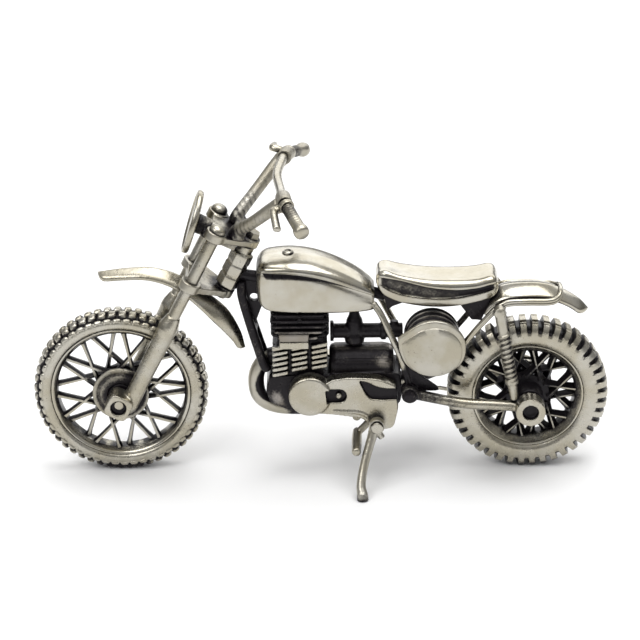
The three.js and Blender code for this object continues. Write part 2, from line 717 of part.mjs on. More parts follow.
function fuelTank() {
  const shell = loft(TANK.map(([x, top, crease, bottom, w, inset]) => {
    const half = [
      [0, bottom], [w - inset - 0.7, bottom], [w - inset - 0.1, bottom + 0.8],
      [w - inset, (bottom + crease) / 2], [w - inset, crease - 0.3], [w, crease],
      [w - 0.35, crease + 0.35 * (top - crease)], [0.6 * w, top - 0.22 * (top - crease)], [0, top],
    ];
    return { point: at(x, 0, 0), up: at(0, 0, 1), ring: mirrored(half) };
  }));
  const tunnel = box([-14, 11.5], [-1.25, 1.25], [35, 38.5]);
  return cut(shell, backbone(GAP), tunnel, headGussetSpace(), fillerSeat());
}

function headGussetSpace() {
  return box([-16, -11], [-0.85, 0.85], [35, 42]);
}

const FILLER = { x: -6.2, z: 46.9, radius: 1.15 };

function fillerSeat() {
  return upright([[0, 0], [FILLER.radius + GAP, 0], [FILLER.radius + GAP, 3], [0, 3]], 16,
    at(FILLER.x, 0, FILLER.z));
}

function fillerCap() {
  const r = FILLER.radius;
  return upright([[0, GAP], [r, GAP], [r, 0.75], [0.7 * r, 1.05], [0, 1.15]], 16,
    at(FILLER.x, 0, FILLER.z));
}

const SEAT = [ // x, top, crease, bottom, half-width
  [11.2, 43, 42.2, 41.2, 2.3],
  [11.8, 44.2, 43, 40.2, 3.2],
  [13.2, 44.3, 43.1, 38.9, 3.6],
  [16.5, 43.4, 42.6, 37.5, 3.9],
  [21.5, 42.6, 41.4, 36.9, 4.4],
  [26.5, 42.4, 40.9, 37, 4.6],
  [30.8, 42.6, 41.2, 37.8, 4.6],
  [33.7, 43.2, 41.8, 38.6, 4.4],
  [34.9, 42.8, 41.8, 39.2, 3.9],
  [35.5, 41.6, 41.2, 40.2, 2.7],
];

function seat() {
  return loft(SEAT.map(([x, top, crease, bottom, w]) => {
    const half = [
      [0, bottom], [0.84 * w, bottom], [0.93 * w, bottom + 0.15 * (crease - bottom)],
      [0.93 * w, crease - 0.2], [w, crease], [0.95 * w, crease + 0.45 * (top - crease)],
      [0.66 * w, top], [0, top - 0.15],
    ];
    return { point: at(x, 0, 0), up: at(0, 0, 1), ring: mirrored(half) };
  }));
}

// The dark pan between the seat and the frame.
function seatBase() {
  const outline = [
    [12.2, 40.4], [13.4, 35.6], [14.6, 36.6], [17.5, 36.3], [27, 36.2], [30.1, 33.4],
    [32.2, 33.2], [34.6, 39.6],
  ];
  const seatSpace = loft(SEAT.map(([x, top, , bottom]) => ({
    point: at(x, 0, 0), up: at(0, 0, 1),
    ring: [[-6, bottom - GAP], [6, bottom - GAP], [6, top], [-6, top]],
  })));
  const strutSpace = SIDES.map(([, s]) => rod(at(12.3, s * 3.6, 35.9), at(12.7, s * 1.3, 36.9), 1));
  const spaces = [seatSpace, fenderSpace(), airBox(GAP), backbone(GAP), ...strutSpace];
  return cut(slab(outline, -3, 3), ...spaces);
}

const FENDER = {
  route: [
    [31.6, 34.8], [33.8, 37.5], [37, 38.9], [42, 39.1], [46, 38.7], [49.4, 37.6], [51.9, 36.1],
    [53.6, 34.4],
  ],
  widths: [2.6, 3.2, 3.6, 3.7, 3.7, 3.7, 3.6, 3.3, 2.8, 2.6, 1.5],
};

function rearFender() {
  const points = FENDER.route.map(([x, z]) => at(x, 0, z));
  return cut(blade(points, FENDER.widths, 0.8, 0.25, 0.2), loopTube(GAP));
}

// A thicker, longer blade round the fender, kept clear by the seat's pan.
function fenderSpace() {
  const points = [[30.7, 33.5], ...FENDER.route].map(([x, z]) => at(x, 0, z + 0.3));
  return blade(points, FENDER.widths.map((w) => w + 1), 2, 0.25, 0.2);
}

const BOX = { x: 22.4, z: 29.6, radius: 5.6, face: -7.1, pitch: 2.3, grooves: 2, neck: 3.4 };

// The air filter: a ribbed drum on the left with a narrower neck reaching to the right.
function airBox(extra = 0) {
  const r = BOX.radius + extra;
  const profile = [[0, BOX.face], [r, BOX.face]];
  for (let k = 1; k <= BOX.grooves; k++) {
    const y = BOX.face + k * BOX.pitch;
    profile.push([r, y - 0.5], [r - 0.6, y], [r, y + 0.5]);
  }
  profile.push([r, -0.3], [BOX.neck + extra, 0.4], [BOX.neck + extra, 3.5], [0, 3.5]);
  return turned(profile, 18, at(BOX.x, 0, BOX.z));
}

// The race-number panel over the end of the drum, with its pointed front corner.
function sidePanel() {
  const outline = new THREE.Shape();
  outline.moveTo(-7, 2.3);
  outline.lineTo(-2.4, 5.5);
  outline.absellipse(0, 0, 6.5, 6, 1.95, Math.PI + 0.25, true);
  outline.lineTo(-7, 2.3);
  const geometry = new THREE.ExtrudeGeometry(outline, {
    depth: 1.1, bevelEnabled: false, curveSegments: 14,
  });
  return solid(geometry.rotateX(Math.PI / 2).translate(BOX.x, BOX.face - GAP, BOX.z));
}

// ---------------------------------------------------------------- engine

// Cases: a rounded block with the gearbox's round top along its rear half.
function crankcase(extra = 0) {
  const block = rounded([
    [-10.3, 22 + extra], [-11.2 - extra, 18.8], [-10.2, 16.2], [-6, 14.2], [12.4, 13.5],
    [16.3, 16], [16.2, 22.4], [12, 22.8], [1.6, 22.2 + extra],
  ], 0.25);
  const top = rod(at(2.4, 0, 23.2), at(14.5, 0, 23.2), 4, 4, 16);
  return join(slab(block, -4.4 - extra, 4.4 + extra, 3), top);
}

const BARREL = {
  low: 22.3, high: 30.5, x: [-8.6, 0.6], y: 4.3, fins: 6, pitch: 1.15, slant: 0.17,
};

// A finned block that tapers from square; each plate is a fin round the core.
function finPlate(x, halfY, middle, thick, slant) {
  const geometry = new THREE.BoxGeometry(x[1] - x[0], 2 * halfY, thick);
  geometry.rotateY(-slant).translate((x[0] + x[1]) / 2, 0, middle);
  return solid(geometry);
}

function cylinderBarrel() {
  const core = box(BARREL.x, [-BARREL.y, BARREL.y], [BARREL.low, BARREL.high]);
  const fins = [];
  for (let k = 0; k < BARREL.fins; k++) {
    const middle = BARREL.low + 1.6 + k * BARREL.pitch;
    fins.push(finPlate([-9.7, 1.5], 5.5, middle, 0.5, BARREL.slant));
  }
  const boss = box([-8.2, -2.5], [-6.5, -4], [29.3, BARREL.high]);
  const port = rod(at(-8, 0, 25.2), at(-10.4, 0, 24.6), 1.75);
  const above = box([-12, 4], [-8, 8], [BARREL.high, BARREL.high + 3]);
  return cut(join(core, ...fins, boss, port), above, crankcase(GAP), downtube(-1), downtube(1));
}

function cylinderHead() {
  const low = BARREL.high + GAP;
  const core = box([-8.8, 0.8], [-4.4, 4.4], [low, 35.7]);
  const fins = [0, 1, 2, 3, 4].map(
    (k) => finPlate([-10, 1.9], 5.7 - 0.12 * k, low + 0.5 + 1.12 * k, 0.55, 0),
  );
  const plug = rod(at(-4, -4, 34.6), at(-4, -6.2, 35.4), 0.55, 0.45, 8);
  return join(core, ...fins, plug);
}

function carburettor() {
  const intake = rod(at(0.9, 0, 30.1), at(18, 0, 30.1), 1.5);
  const flange = rod(at(2, 0, 30.1), at(2.7, 0, 30.1), 2.1);
  const clip = rod(at(12.2, 0, 30.1), at(13.2, 0, 30.1), 1.9);
  const bowl = upright([
    [0, 27.4], [1.4, 27.4], [2, 27.9], [2, 29.1], [1.6, 29.6], [1.6, 32.9], [1.2, 33.2],
    [1.2, 34.6], [0, 34.6],
  ], 12, at(6.9, 0, 0));
  return cut(join(intake, flange, clip, bowl), cylinderSpace(), airBox(GAP));
}

function cylinderSpace() {
  return box([-12, 1.95], [-8, 8], [22, 37]);
}

const COVER = { inner: 4.4 + GAP, outer: 7.2 };

// Left cover: long polished casting with the round ignition cover at its front.
function leftCover() {
  const outline = rounded([
    [-5.5, 15.2], [2, 14.8], [8.6, 13.8], [10.4, 10.9], [14.6, 11.6], [15.6, 16.2], [15.2, 21],
    [11.6, 22.6], [5.6, 23], [1.7, 22.4],
  ], 0.25);
  const body = slab(outline, -COVER.outer, -COVER.inner, 3);
  const round = turned([
    [0, -7.9], [3.7, -7.9], [4.3, -7.5], [4.3, -COVER.inner], [0, -COVER.inner],
  ], 20, at(-2.6, 0, 19.2));
  const pocket = crossRod(3.7, 19.2, -9, -6.1, 1.5);
  const pocketFront = box([1.2, 3.7], [-9, -6.1], [17.7, 20.7]);
  const recess = rounded([[8.4, 22], [9.2, 19], [14.2, 18.4], [14.6, 20.4], [11, 21.6]], 0.2);
  const pin = crossRod(STAND.x, STAND.z, -12, -6, STAND.pin + GAP);
  const cutBody = cut(body, pocket, pocketFront, slab(recess, -9, -6.3, 2));
  return cut(join(cutBody, round), pin, swingPivotSpace());
}

function swingPivotSpace() {
  return crossRod(PIVOT.x, PIVOT.z, -12, 12, 1.7 + GAP);
}

// Right cover: clutch and gearbox cover, shorter so that the exhaust passes under it.
function rightCover() {
  const outline = rounded([
    [-7.2, 16.6], [0, 14.8], [8.4, 14.9], [11.2, 16.6], [11.1, 21.2], [4, 22.6], [-6.4, 22],
  ], 0.25);
  const body = slab(outline, COVER.inner, COVER.outer - 0.6, 3);
  const clutch = turned([
    [0, COVER.inner], [4, COVER.inner], [4, 7.3], [3.4, 7.7], [0, 7.7],
  ], 24, at(2.4, 0, 18.6));
  return join(body, clutch);
}

function exhaustPipe() {
  const points = [
    at(-9.9, 0, 24.7), at(-12, 0, 23), at(-13.1, 0, 19.8), at(-12.5, 0, 15.8), at(-9.4, 0.3, 13.3),
    at(-4, 1.2, 12.1), at(3, 3.4, 11.5), at(8.5, 6, 11.9), at(13.5, 8.6, 13), at(16.5, 9.6, 13.9),
  ];
  const pipe = bentBar(points, 1.3, 8, 2);
  const muffler = rod(at(15.4, 9.4, 13.6), at(27, 11.6, 17.2), 1.9, 1.7, 14);
  const outlet = rod(at(24, 11, 16.3), at(28.2, 11.9, 17.6), 0.8);
  const open = rod(at(26.4, 11.5, 17), at(29, 12.1, 17.9), 0.5, 0.5, 8);
  const socket = rod(at(-8, 0, 25.2), at(-10.4, 0, 24.6), 1.75 + GAP, 1.75 + GAP);
  return cut(join(pipe, muffler, outlet), open, socket, crankcase(GAP), downtube(-1), downtube(1));
}

function footpeg(s) {
  const route = [at(10.6, s * 3.8, 14.2), at(9.6, s * 3.9, 11.4), at(7.4, s * 4, 9)];
  const bracket = bentBar(route, 0.75, 6, 2);
  const peg = rod(at(7.3, s * 3.2, 8.9), at(7, s * 11.8, 8.4), 0.95, 1.05, 10);
  return cut(join(bracket, peg), crankcase(GAP), leftCoverSpace(), rightCoverSpace());
}

function leftCoverSpace() {
  return box([-8, 16], [-8, -COVER.inner + GAP], [10.2, 24]);
}

function rightCoverSpace() {
  return box([-8, 12], [COVER.inner - GAP, 8], [14, 24]);
}

const CHAIN = {
  x: 14.6, z: 19.2, small: 2.3, big: SPROCKET.radius + 0.1, y: [4.45, 5], depth: 0.7,
};

// The outer shape of the chain round both sprockets, grown by extra.
function chainShape(extra) {
  const small = CHAIN.small + extra;
  const big = CHAIN.big + extra;
  const runs = [
    [CHAIN.x, CHAIN.z + small], [REAR.x, REAR.radius + big], [REAR.x, REAR.radius - big],
    [CHAIN.x, CHAIN.z - small],
  ];
  const front = crossRod(CHAIN.x, CHAIN.z, ...CHAIN.y, small);
  const back = crossRod(REAR.x, REAR.radius, ...CHAIN.y, big, 24);
  return join(front, back, slab(runs, ...CHAIN.y));
}

// The chain's two runs, from the gearbox to the rear sprocket, as one closed band.
function driveChain() {
  return cut(chainShape(CHAIN.depth), chainShape(0));
}

// ---------------------------------------------------------------- side stand

function standPin() {
  const shank = crossRod(STAND.x, STAND.z, -10.1, -6.1, STAND.pin);
  const head = rod(at(STAND.x, -9.9, STAND.z), at(STAND.x, -10.6, STAND.z), 1.2, 1, 12);
  return join(shank, head);
}

// The leg hangs from an eye on the pin and leans out to its flat-soled foot.
function sideStand() {
  const eye = crossRod(STAND.x, STAND.z, ...STAND.eye, 1.6, 14);
  const leg = bentBar([
    at(STAND.x, -8.9, STAND.z - 0.6), at(10.4, -9.9, 10.4), at(8.6, -12.4, 5.8), at(7.9, -14.6, 2.6),
    at(STAND.footX, STAND.footY, 0.3),
  ], 1.1, 8, 2);
  const toe = rod(at(8.1, -15.7, 0.9), at(STAND.footX, STAND.footY - 0.2, -0.4), 1.2, 1.3, 10);
  const ground = box([0, 20], [-22, -8], [-4, 0]);
  const knob = rod(at(11, -8.8, 12.3), at(12.2, -9.1, 10.6), 0.75, 0.6, 8);
  const bore = crossRod(STAND.x, STAND.z, -12, -6, STAND.pin + RUNNING);
  const pinHead = crossRod(STAND.x, STAND.z, -13, STAND.eye[0], 1.3);
  const cover = box([0, 20], [STAND.eye[1] + GAP, 0], [0, 20]);
  return cut(join(eye, leg, toe, knob), ground, bore, pinHead, cover);
}

// ---------------------------------------------------------------- assembly

function chassis() {
  const group = new THREE.Group();
  const head = new THREE.Group();
  head.position.set(HEAD.x, 0, HEAD.z);
  head.rotation.y = RAKE;
  head.add(piece('head_tube', headTube(), satin));
  group.add(
    head,
    piece('backbone_tube', join(backbone(), headGusset()), blackened),
    piece('downtubes', downtubes(), blackened),
    piece('rear_loop_tube', loopTube(), polished),
    piece('swingarm_pivot', pivotShaft(), satin),
    piece('rear_axle', rearAxle(), blackened),
    piece('fuel_tank', fuelTank(), polished),
    piece('filler_cap', fillerCap(), satin),
    piece('seat', seat(), polished),
    piece('seat_base', seatBase(), blackened),
    piece('rear_fender', rearFender(), polished),
    piece('air_box', airBox(), blackened),
    piece('side_panel_left', sidePanel(), polished),
    piece('crankcase', crankcase(), blackened),
    piece('cylinder_barrel', cylinderBarrel(), satin),
    piece('cylinder_head', cylinderHead(), blackened),
    piece('carburettor', carburettor(), blackened),
    piece('engine_cover_left', leftCover(), polished),
    piece('engine_cover_right', rightCover(), polished),
    piece('exhaust_pipe', exhaustPipe(), satin),
    piece('drive_chain', driveChain(), blackened),
    piece('stand_pin', standPin(), satin),
  );
  for (const [side, s] of SIDES) {
    group.add(
      piece(`frame_strut_${side}`, strut(s), satin),
      piece(`swingarm_${side}`, swingArm(s), satin),
      piece(`shock_${side}`, shock(s), textured),
      piece(`footpeg_${side}`, footpeg(s), satin),
    );
  }
  return group;
}

const stand = piece('side_stand', sideStand(), satin);
const motorcycle = new THREE.Group();
motorcycle.add(chassis(), steering(), frontWheel(), rearWheel(), stand);

export default motorcycle;
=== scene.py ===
"""A cast-metal miniature motocross motorcycle: bright polished metal, blackened in its recesses."""

import json
import math

import bmesh
import bpy
from mathutils import Matrix, Vector


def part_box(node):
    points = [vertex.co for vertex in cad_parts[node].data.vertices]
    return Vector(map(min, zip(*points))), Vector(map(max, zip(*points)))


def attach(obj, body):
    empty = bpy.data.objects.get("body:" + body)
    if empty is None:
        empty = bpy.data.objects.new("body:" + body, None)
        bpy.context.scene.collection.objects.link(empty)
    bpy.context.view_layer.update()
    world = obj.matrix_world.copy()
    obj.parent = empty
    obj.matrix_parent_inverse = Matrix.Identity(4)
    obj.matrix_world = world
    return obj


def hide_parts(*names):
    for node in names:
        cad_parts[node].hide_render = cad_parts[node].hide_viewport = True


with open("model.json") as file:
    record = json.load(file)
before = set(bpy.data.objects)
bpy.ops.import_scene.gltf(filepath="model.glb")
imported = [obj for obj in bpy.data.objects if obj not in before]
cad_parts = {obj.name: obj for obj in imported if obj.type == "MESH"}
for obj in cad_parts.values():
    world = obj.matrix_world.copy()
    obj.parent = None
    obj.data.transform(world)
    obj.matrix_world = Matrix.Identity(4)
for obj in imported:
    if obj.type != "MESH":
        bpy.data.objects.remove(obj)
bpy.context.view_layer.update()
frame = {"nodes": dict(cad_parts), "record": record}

# ---------------------------------------------------------------- frame

MM = 0.001
RECORD = frame["record"]
SLOT_OF = {part["node"]: part["material_slot"] for part in RECORD["subparts"]}
BODY_OF = {node: body for body, nodes in RECORD["behaviour"]["bodies"].items() for node in nodes}
JOINT = {joint["name"]: joint for joint in RECORD["behaviour"]["joints"]}
SIDES = (("left", -1), ("right", 1))


def joint_point(name):
    """A joint's place in millimetres."""
    return Vector(JOINT[name]["pos_m"]) / MM


def size(node):
    """A CAD node's lowest and highest corners in millimetres."""
    low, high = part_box(node)
    return Vector(low) / MM, Vector(high) / MM


HEAD = joint_point("steer")
STEER_AXIS = Vector(JOINT["steer"]["axis"])
RAKE = math.atan2(STEER_AXIS.x, STEER_AXIS.z)
FORK = Matrix.Translation(HEAD) @ Matrix.Rotation(RAKE, 4, "Y")
FRONT = joint_point("front_wheel_spin")
REAR = joint_point("rear_wheel_spin")
STAND = joint_point("side_stand_fold")
FRONT_IN_FORK = FORK.inverted() @ FRONT
LEG_X = -7.2  # the fork legs stand this far ahead of the steering axis
LEG_Y = 5.3
PIVOT = Vector((17.8, 0, 19.6))

# ---------------------------------------------------------------- materials

BRIGHT = (0.47, 0.45, 0.395)
WARM = (0.84, 0.81, 0.73)  # what the tarnished clouds leave of each channel
# The black of patina, which painted shade also darkens towards.
PATINA_AND_SHADE_BLACK = (0.012, 0.010, 0.012)


def new_node(tree, kind, inputs, **settings):
    """A shader node; inputs gives its sockets numbers, colours or other nodes' outputs."""
    node = tree.nodes.new(f"ShaderNode{kind}")
    for name, value in settings.items():
        setattr(node, name, value)
    for name, value in inputs.items():
        if isinstance(value, bpy.types.NodeSocket):
            tree.links.new(value, node.inputs[name])
        else:
            node.inputs[name].default_value = value
    return node


def ramp(tree, source, low, high):
    """Runs from 0 at low to 1 at high, smoothly."""
    inputs = {"Value": source, "From Min": low, "From Max": high}
    return new_node(tree, "MapRange", inputs, interpolation_type="SMOOTHSTEP").outputs["Result"]


def between(tree, share, low, high):
    """A number that runs from low to high with share."""
    return new_node(tree, "MapRange", {"Value": share, "To Min": low, "To Max": high}).outputs["Result"]


def calc(tree, operation, first, second, clamp=False):
    return new_node(tree, "Math", {0: first, 1: second}, operation=operation, use_clamp=clamp).outputs[0]


def swing(tree, source, weight):
    """A texture around a half, turned into a change around zero."""
    return calc(tree, "MULTIPLY", calc(tree, "SUBTRACT", source, 0.5), weight)


def noise(tree, coordinates, scale, detail, roughness=0.55):
    inputs = {"Vector": coordinates, "Scale": scale, "Detail": detail, "Roughness": roughness}
    return new_node(tree, "TexNoise", inputs).outputs["Fac"]


def tint(tree, share, low, high):
    """A colour that runs from low to high with share; low may be another node's output."""
    start = (*low, 1) if isinstance(low, tuple) else low
    inputs = {"Factor": share, "A": start, "B": (*high, 1)}
    return new_node(tree, "Mix", inputs, data_type="RGBA").outputs["Result"]


def metal(name, colour, rough, dark, reach, grain, pits):
    """Cast metal that keeps its black finish where polishing can't reach.

    dark moves the whole surface towards black, reach is how far from a corner the black spreads
    in millimetres, grain is the height of the cast texture and pits the share of small holes.
    """
    material = bpy.data.materials.new(name)
    material.use_nodes = True
    tree = material.node_tree
    shader = tree.nodes["Principled BSDF"]
    shader.inputs["Specular IOR Level"].default_value = 0.25
    where = tree.nodes.new("ShaderNodeTexCoord").outputs["Object"]

    occlusion = new_node(tree, "AmbientOcclusion", {"Distance": reach * MM}, samples=8)
    corner = calc(tree, "SUBTRACT", 1.0, occlusion.outputs["AO"])
    # The painted attribute holds patina together with painted shade, and painted highlights where it is
    # negative.
    painted = new_node(tree, "Attribute", {}, attribute_name="patina_and_painted_light").outputs["Fac"]
    mask = calc(tree, "ADD", calc(tree, "MULTIPLY", corner, 1.5), painted)
    mask = calc(tree, "ADD", mask, dark)
    mask = calc(tree, "ADD", mask, swing(tree, noise(tree, where, 420, 5), 0.6))
    mask = calc(tree, "ADD", mask, swing(tree, noise(tree, where, 2600, 3), 0.5))
    black = ramp(tree, mask, 0.36, 0.84)

    cluster = ramp(tree, noise(tree, where, 330, 2), 0.42, 0.62)
    hole = ramp(tree, noise(tree, where, 3600, 1), 0.76 - pits, 0.84 - pits)
    hole = calc(tree, "MULTIPLY", hole, cluster)
    # The mask is patina, pits, painted shade and painted highlights.
    patina_pits_and_painted_light = calc(tree, "MAXIMUM", black, calc(tree, "MULTIPLY", hole, 0.7))

    warm = tuple(channel * factor for channel, factor in zip(colour, WARM))
    bright = tint(tree, ramp(tree, noise(tree, where, 150, 3), 0.35, 0.7), warm, colour)
    smear = swing(tree, noise(tree, where, 700, 4), 0.2)
    height = calc(tree, "MULTIPLY", noise(tree, where, 1500, 4, 0.6), grain)
    height = calc(tree, "SUBTRACT", height, calc(tree, "MULTIPLY", hole, 0.03))
    bump = new_node(tree, "Bump", {"Distance": MM, "Height": height})
    looks = {
        "Base Color": tint(tree, patina_pits_and_painted_light, bright, PATINA_AND_SHADE_BLACK),
        "Metallic": between(tree, patina_pits_and_painted_light, 1.0, 0.35),
        "Roughness": calc(tree, "ADD", between(tree, patina_pits_and_painted_light, rough, 0.3), smear, clamp=True),
        "Normal": bump.outputs["Normal"],
    }
    for socket, source in looks.items():
        tree.links.new(source, shader.inputs[socket])
    return material


FINISH = {
    "mirror": metal("mirror_polish", BRIGHT, 0.2, -0.1, 1.6, 0.02, 0.02),
    "polished": metal("polished_cast", BRIGHT, 0.28, 0.0, 2.2, 0.045, 0.07),
    "satin": metal("satin_cast", BRIGHT, 0.34, 0.06, 2.4, 0.07, 0.1),
    "rough": metal("rough_cast", (0.42, 0.4, 0.35), 0.4, 0.2, 2.6, 0.16, 0.16),
    "black": metal("blackened_cast", (0.3, 0.28, 0.26), 0.34, 0.86, 2.2, 0.08, 0.08),
}
FINISH_OF_SLOT = {
    "polished_metal": "polished", "satin_metal": "satin", "textured_metal": "rough",
    "blackened_metal": "black",
}

# ---------------------------------------------------------------- measures


def smooth_step(low, high, value):
    """0 below low, 1 above high and a smooth rise between."""
    t = min(max((value - low) / (high - low), 0), 1)
    return t * t * (3 - 2 * t)


def peak(value, middle, spread):
    """1 at the middle, falling off smoothly on both sides."""
    return math.exp(-((value - middle) / spread) ** 2)


def off_axis(point, centre):
    """How far a point is from the line through centre along Y."""
    return math.hypot(point.x - centre.x, point.z - centre.z)


def polar(r, turn, y=0):
    """A point r from the Y axis, turned from X towards Z."""
    return Vector((r * math.cos(turn), y, r * math.sin(turn)))


def rounded_off(values, digits):
    return tuple(round(value, digits) for value in values)


# ---------------------------------------------------------------- forms: (points, faces)


def merge(*forms):
    points, faces = [], []
    for form_points, form_faces in forms:
        first = len(points)
        points.extend(form_points)
        faces.extend([tuple(first + k for k in face) for face in form_faces])
    return points, faces


def spline(points, steps):
    """A smooth path through points of any dimension."""
    path = [Vector(p) for p in points]
    ends = [2 * path[0] - path[1], *path, 2 * path[-1] - path[-2]]
    result = []
    for a, b, c, d in zip(ends, ends[1:], ends[2:], ends[3:]):
        for k in range(steps):
            t = k / steps
            square = 2 * a - 5 * b + 4 * c - d
            cube = 3 * b - a - 3 * c + d
            result.append(0.5 * (2 * b + (c - a) * t + square * t * t + cube * t ** 3))
    result.append(path[-1])
    return result


def distances(path):
    """How far along a path each of its points is."""
    lengths = [0.0]
    for a, b in zip(path, path[1:]):
        lengths.append(lengths[-1] + (b - a).length)
    return lengths


def turns(count, start=0.0):
    """Evenly spaced angles round a circle."""
    return [2 * math.pi * (k + start) / count for k in range(count)]


def skin(rings, closed=False):
    """Joins rings of equal length; capped at both ends, or joined last to first."""
    count = len(rings[0])
    points = [point for ring in rings for point in ring]
    faces = []
    spans = len(rings) if closed else len(rings) - 1
    for s in range(spans):
        a = s * count
        b = ((s + 1) % len(rings)) * count
        for k in range(count):
            n = (k + 1) % count
            faces.append((a + k, a + n, b + n, b + k))
    if not closed:
        last = (len(rings) - 1) * count
        faces.append(tuple(range(count - 1, -1, -1)))
        faces.append(tuple(range(last, last + count)))
    return points, faces


def lathe(profile, place=Matrix(), sides=64, ring=False):
    """A profile of (radius, height) turned about the place's Z."""
    loop = profile if ring else [(max(r, 1e-3), h) for r, h in profile]
    rings = []
    for turn in turns(sides):
        rings.append([place @ Vector((r * math.cos(turn), r * math.sin(turn), h)) for r, h in loop])
    count = len(loop)
    points = [point for around in rings for point in around]
    faces = []
    spans = count if ring else count - 1
    for k in range(sides):
        a, b = k * count, ((k + 1) % sides) * count
        for j in range(spans):
            n = (j + 1) % count
            faces.append((a + j, b + j, b + n, a + n))
    if not ring:
        faces.append(tuple(k * count for k in range(sides)))
        faces.append(tuple(k * count + count - 1 for k in reversed(range(sides))))
    return points, faces


def along(start, end):
    """A place at start whose Z points to end."""
    turn = (Vector(end) - Vector(start)).to_track_quat("Z", "Y")
    return Matrix.Translation(start) @ turn.to_matrix().to_4x4()


def across(x, z):
    """A place whose Z is the machine's Y."""
    return Matrix.Translation((x, 0, z)) @ Matrix.Rotation(-math.pi / 2, 4, "X")


def rod(start, end, radius, end_radius=None, sides=32):
    length = (Vector(end) - Vector(start)).length
    last = radius if end_radius is None else end_radius
    return lathe([(0, 0), (radius, 0), (last, length), (0, length)], along(start, end), sides)


def tube(points, radius, sides=20, steps=8, flat=1.0, blunt=True):
    """A bar bent through points. radius is a number or a function of the share of its length.

    flat squeezes it along the second direction of its frame; blunt rounds its two ends.
    """
    path = spline(points, steps)
    width = radius if callable(radius) else lambda share: radius
    rings = []
    normal = (path[1] - path[0]).orthogonal().normalized()
    for k, point in enumerate(path):
        ahead = path[min(k + 1, len(path) - 1)] - path[max(k - 1, 0)]
        ahead.normalize()
        normal = (normal - ahead * normal.dot(ahead)).normalized()
        side = ahead.cross(normal)
        share = k / (len(path) - 1)
        stations = [(0.0, 1.0)]
        if blunt and k == 0:
            stations = [(-0.45, 0.35), (-0.36, 0.7), (-0.15, 0.94), (0, 1)]
        if blunt and k == len(path) - 1:
            stations = [(0, 1), (0.15, 0.94), (0.36, 0.7), (0.45, 0.35)]
        for shift, scale in stations:
            r = width(share) * scale
            centre = point + ahead * shift * width(share)
            rings.append([centre + normal * r * math.cos(turn) + side * r * flat * math.sin(turn)
                          for turn in turns(sides)])
    return skin(rings)


def prism(outline, y0, y1, place=Matrix()):
    """An outline of (x, z) made solid from y0 to y1."""
    near = [place @ Vector((x, y0, z)) for x, z in outline]
    far = [place @ Vector((x, y1, z)) for x, z in outline]
    return skin([near, far])


def rounded(points, share=0.3, steps=8):
    """A closed outline whose corners are rounded by quadratic curves."""
    corners = [Vector(p) for p in points]
    result = []
    for k, corner in enumerate(corners):
        enter = corner.lerp(corners[k - 1], share)
        leave = corner.lerp(corners[(k + 1) % len(corners)], share)
        for j in range(steps + 1):
            t = j / steps
            result.append(enter.lerp(corner, t).lerp(corner.lerp(leave, t), t))
    return [tuple(point) for point in result]


def blade(route, widths, thickness, arch, ridge, tips):
    """A thin arched blade along a path in the XZ plane, rounded off over the two tip lengths.

    widths are half-widths on the way; arch(share of the way) is how far the edges come down.
    """
    path = spline([(x, 0, z) for x, z in route], 10)
    lengths = distances(path)
    whole = lengths[-1]
    count = 44
    stops = [whole * k / count for k in range(1, count)]
    for share in (0, 0.03, 0.1, 0.22, 0.4, 0.65):
        stops += [tips[0] * share, whole - tips[1] * share]
    breadth = spline([(w, 0) for w in widths], 6)
    rings = []
    for stop in sorted(stops):
        k = min(sum(length <= stop for length in lengths), len(path) - 1) - 1
        share = (stop - lengths[k]) / (lengths[k + 1] - lengths[k])
        point = path[k].lerp(path[k + 1], share)
        ahead = (path[min(k + 2, len(path) - 1)] - path[max(k - 1, 0)]).normalized()
        up = Vector((-ahead.z, 0, ahead.x))
        place = stop / whole * (len(breadth) - 1)
        low = min(int(place), len(breadth) - 2)
        end = min(stop / tips[0], (whole - stop) / tips[1], 1)
        w = max(breadth[low].lerp(breadth[low + 1], place - low).x * math.sqrt(1 - (1 - end) ** 2), 0.3)
        fall = arch(stop / whole) * w
        over = [(0, ridge), (0.1 * w, 0.8 * ridge), (0.35 * w, 0.1 * ridge - 0.06 * fall)]
        over += [(0.7 * w, -0.38 * fall), (0.9 * w, -0.75 * fall)]
        over += [(w - 0.12, -0.95 * fall), (w, -fall - 0.15)]
        under = [(w - 0.08, -thickness - fall + 0.12), (w - 0.25, -thickness - fall)]
        under += [(0.8 * w, -thickness - 0.5 * fall), (0.4 * w, -thickness - 0.1 * fall)]
        half = over + under
        loop = [*half, (0, -thickness), *[(-y, z) for y, z in reversed(half[1:])]]
        rings.append([point + up * z + Vector((0, y, 0)) for y, z in loop])
    return skin(rings)


def coil(start, end, radius, wire, rounds, sides=8):
    """A helical spring from start to end."""
    place = along(start, end)
    length = (Vector(end) - Vector(start)).length
    steps = 16
    count = int(rounds * steps)
    points = []
    for k in range(count + 1):
        turn = 2 * math.pi * k / steps
        points.append(place @ Vector((radius * math.cos(turn), radius * math.sin(turn), length * k / count)))
    return tube(points, wire, sides, 1)


def slab(outline, low, high):
    """An outline of (x, y) made solid between two heights on the steering axis."""
    return skin([[fork(x, y, height) for x, y in outline] for height in (low, high)])


def shell_ring(x, half, steps):
    """A closed ring at x from the right half of its outline, bottom to top."""
    fine = [(max(y, 0), z) for y, z in spline(half, steps)]
    left = [Vector((x, -y, z)) for y, z in reversed(fine[1:-1])]
    return [*(Vector((x, y, z)) for y, z in fine), *left]


# ---------------------------------------------------------------- pieces


def mesh_of(name, form):
    mesh = bpy.data.meshes.new(name)
    mesh.from_pydata([Vector(p) * MM for p in form[0]], [], form[1])
    shape = bmesh.new()
    shape.from_mesh(mesh)
    bmesh.ops.remove_doubles(shape, verts=shape.verts, dist=2e-6)
    bmesh.ops.recalc_face_normals(shape, faces=shape.faces)
    shape.to_mesh(mesh)
    shape.free()
    return mesh


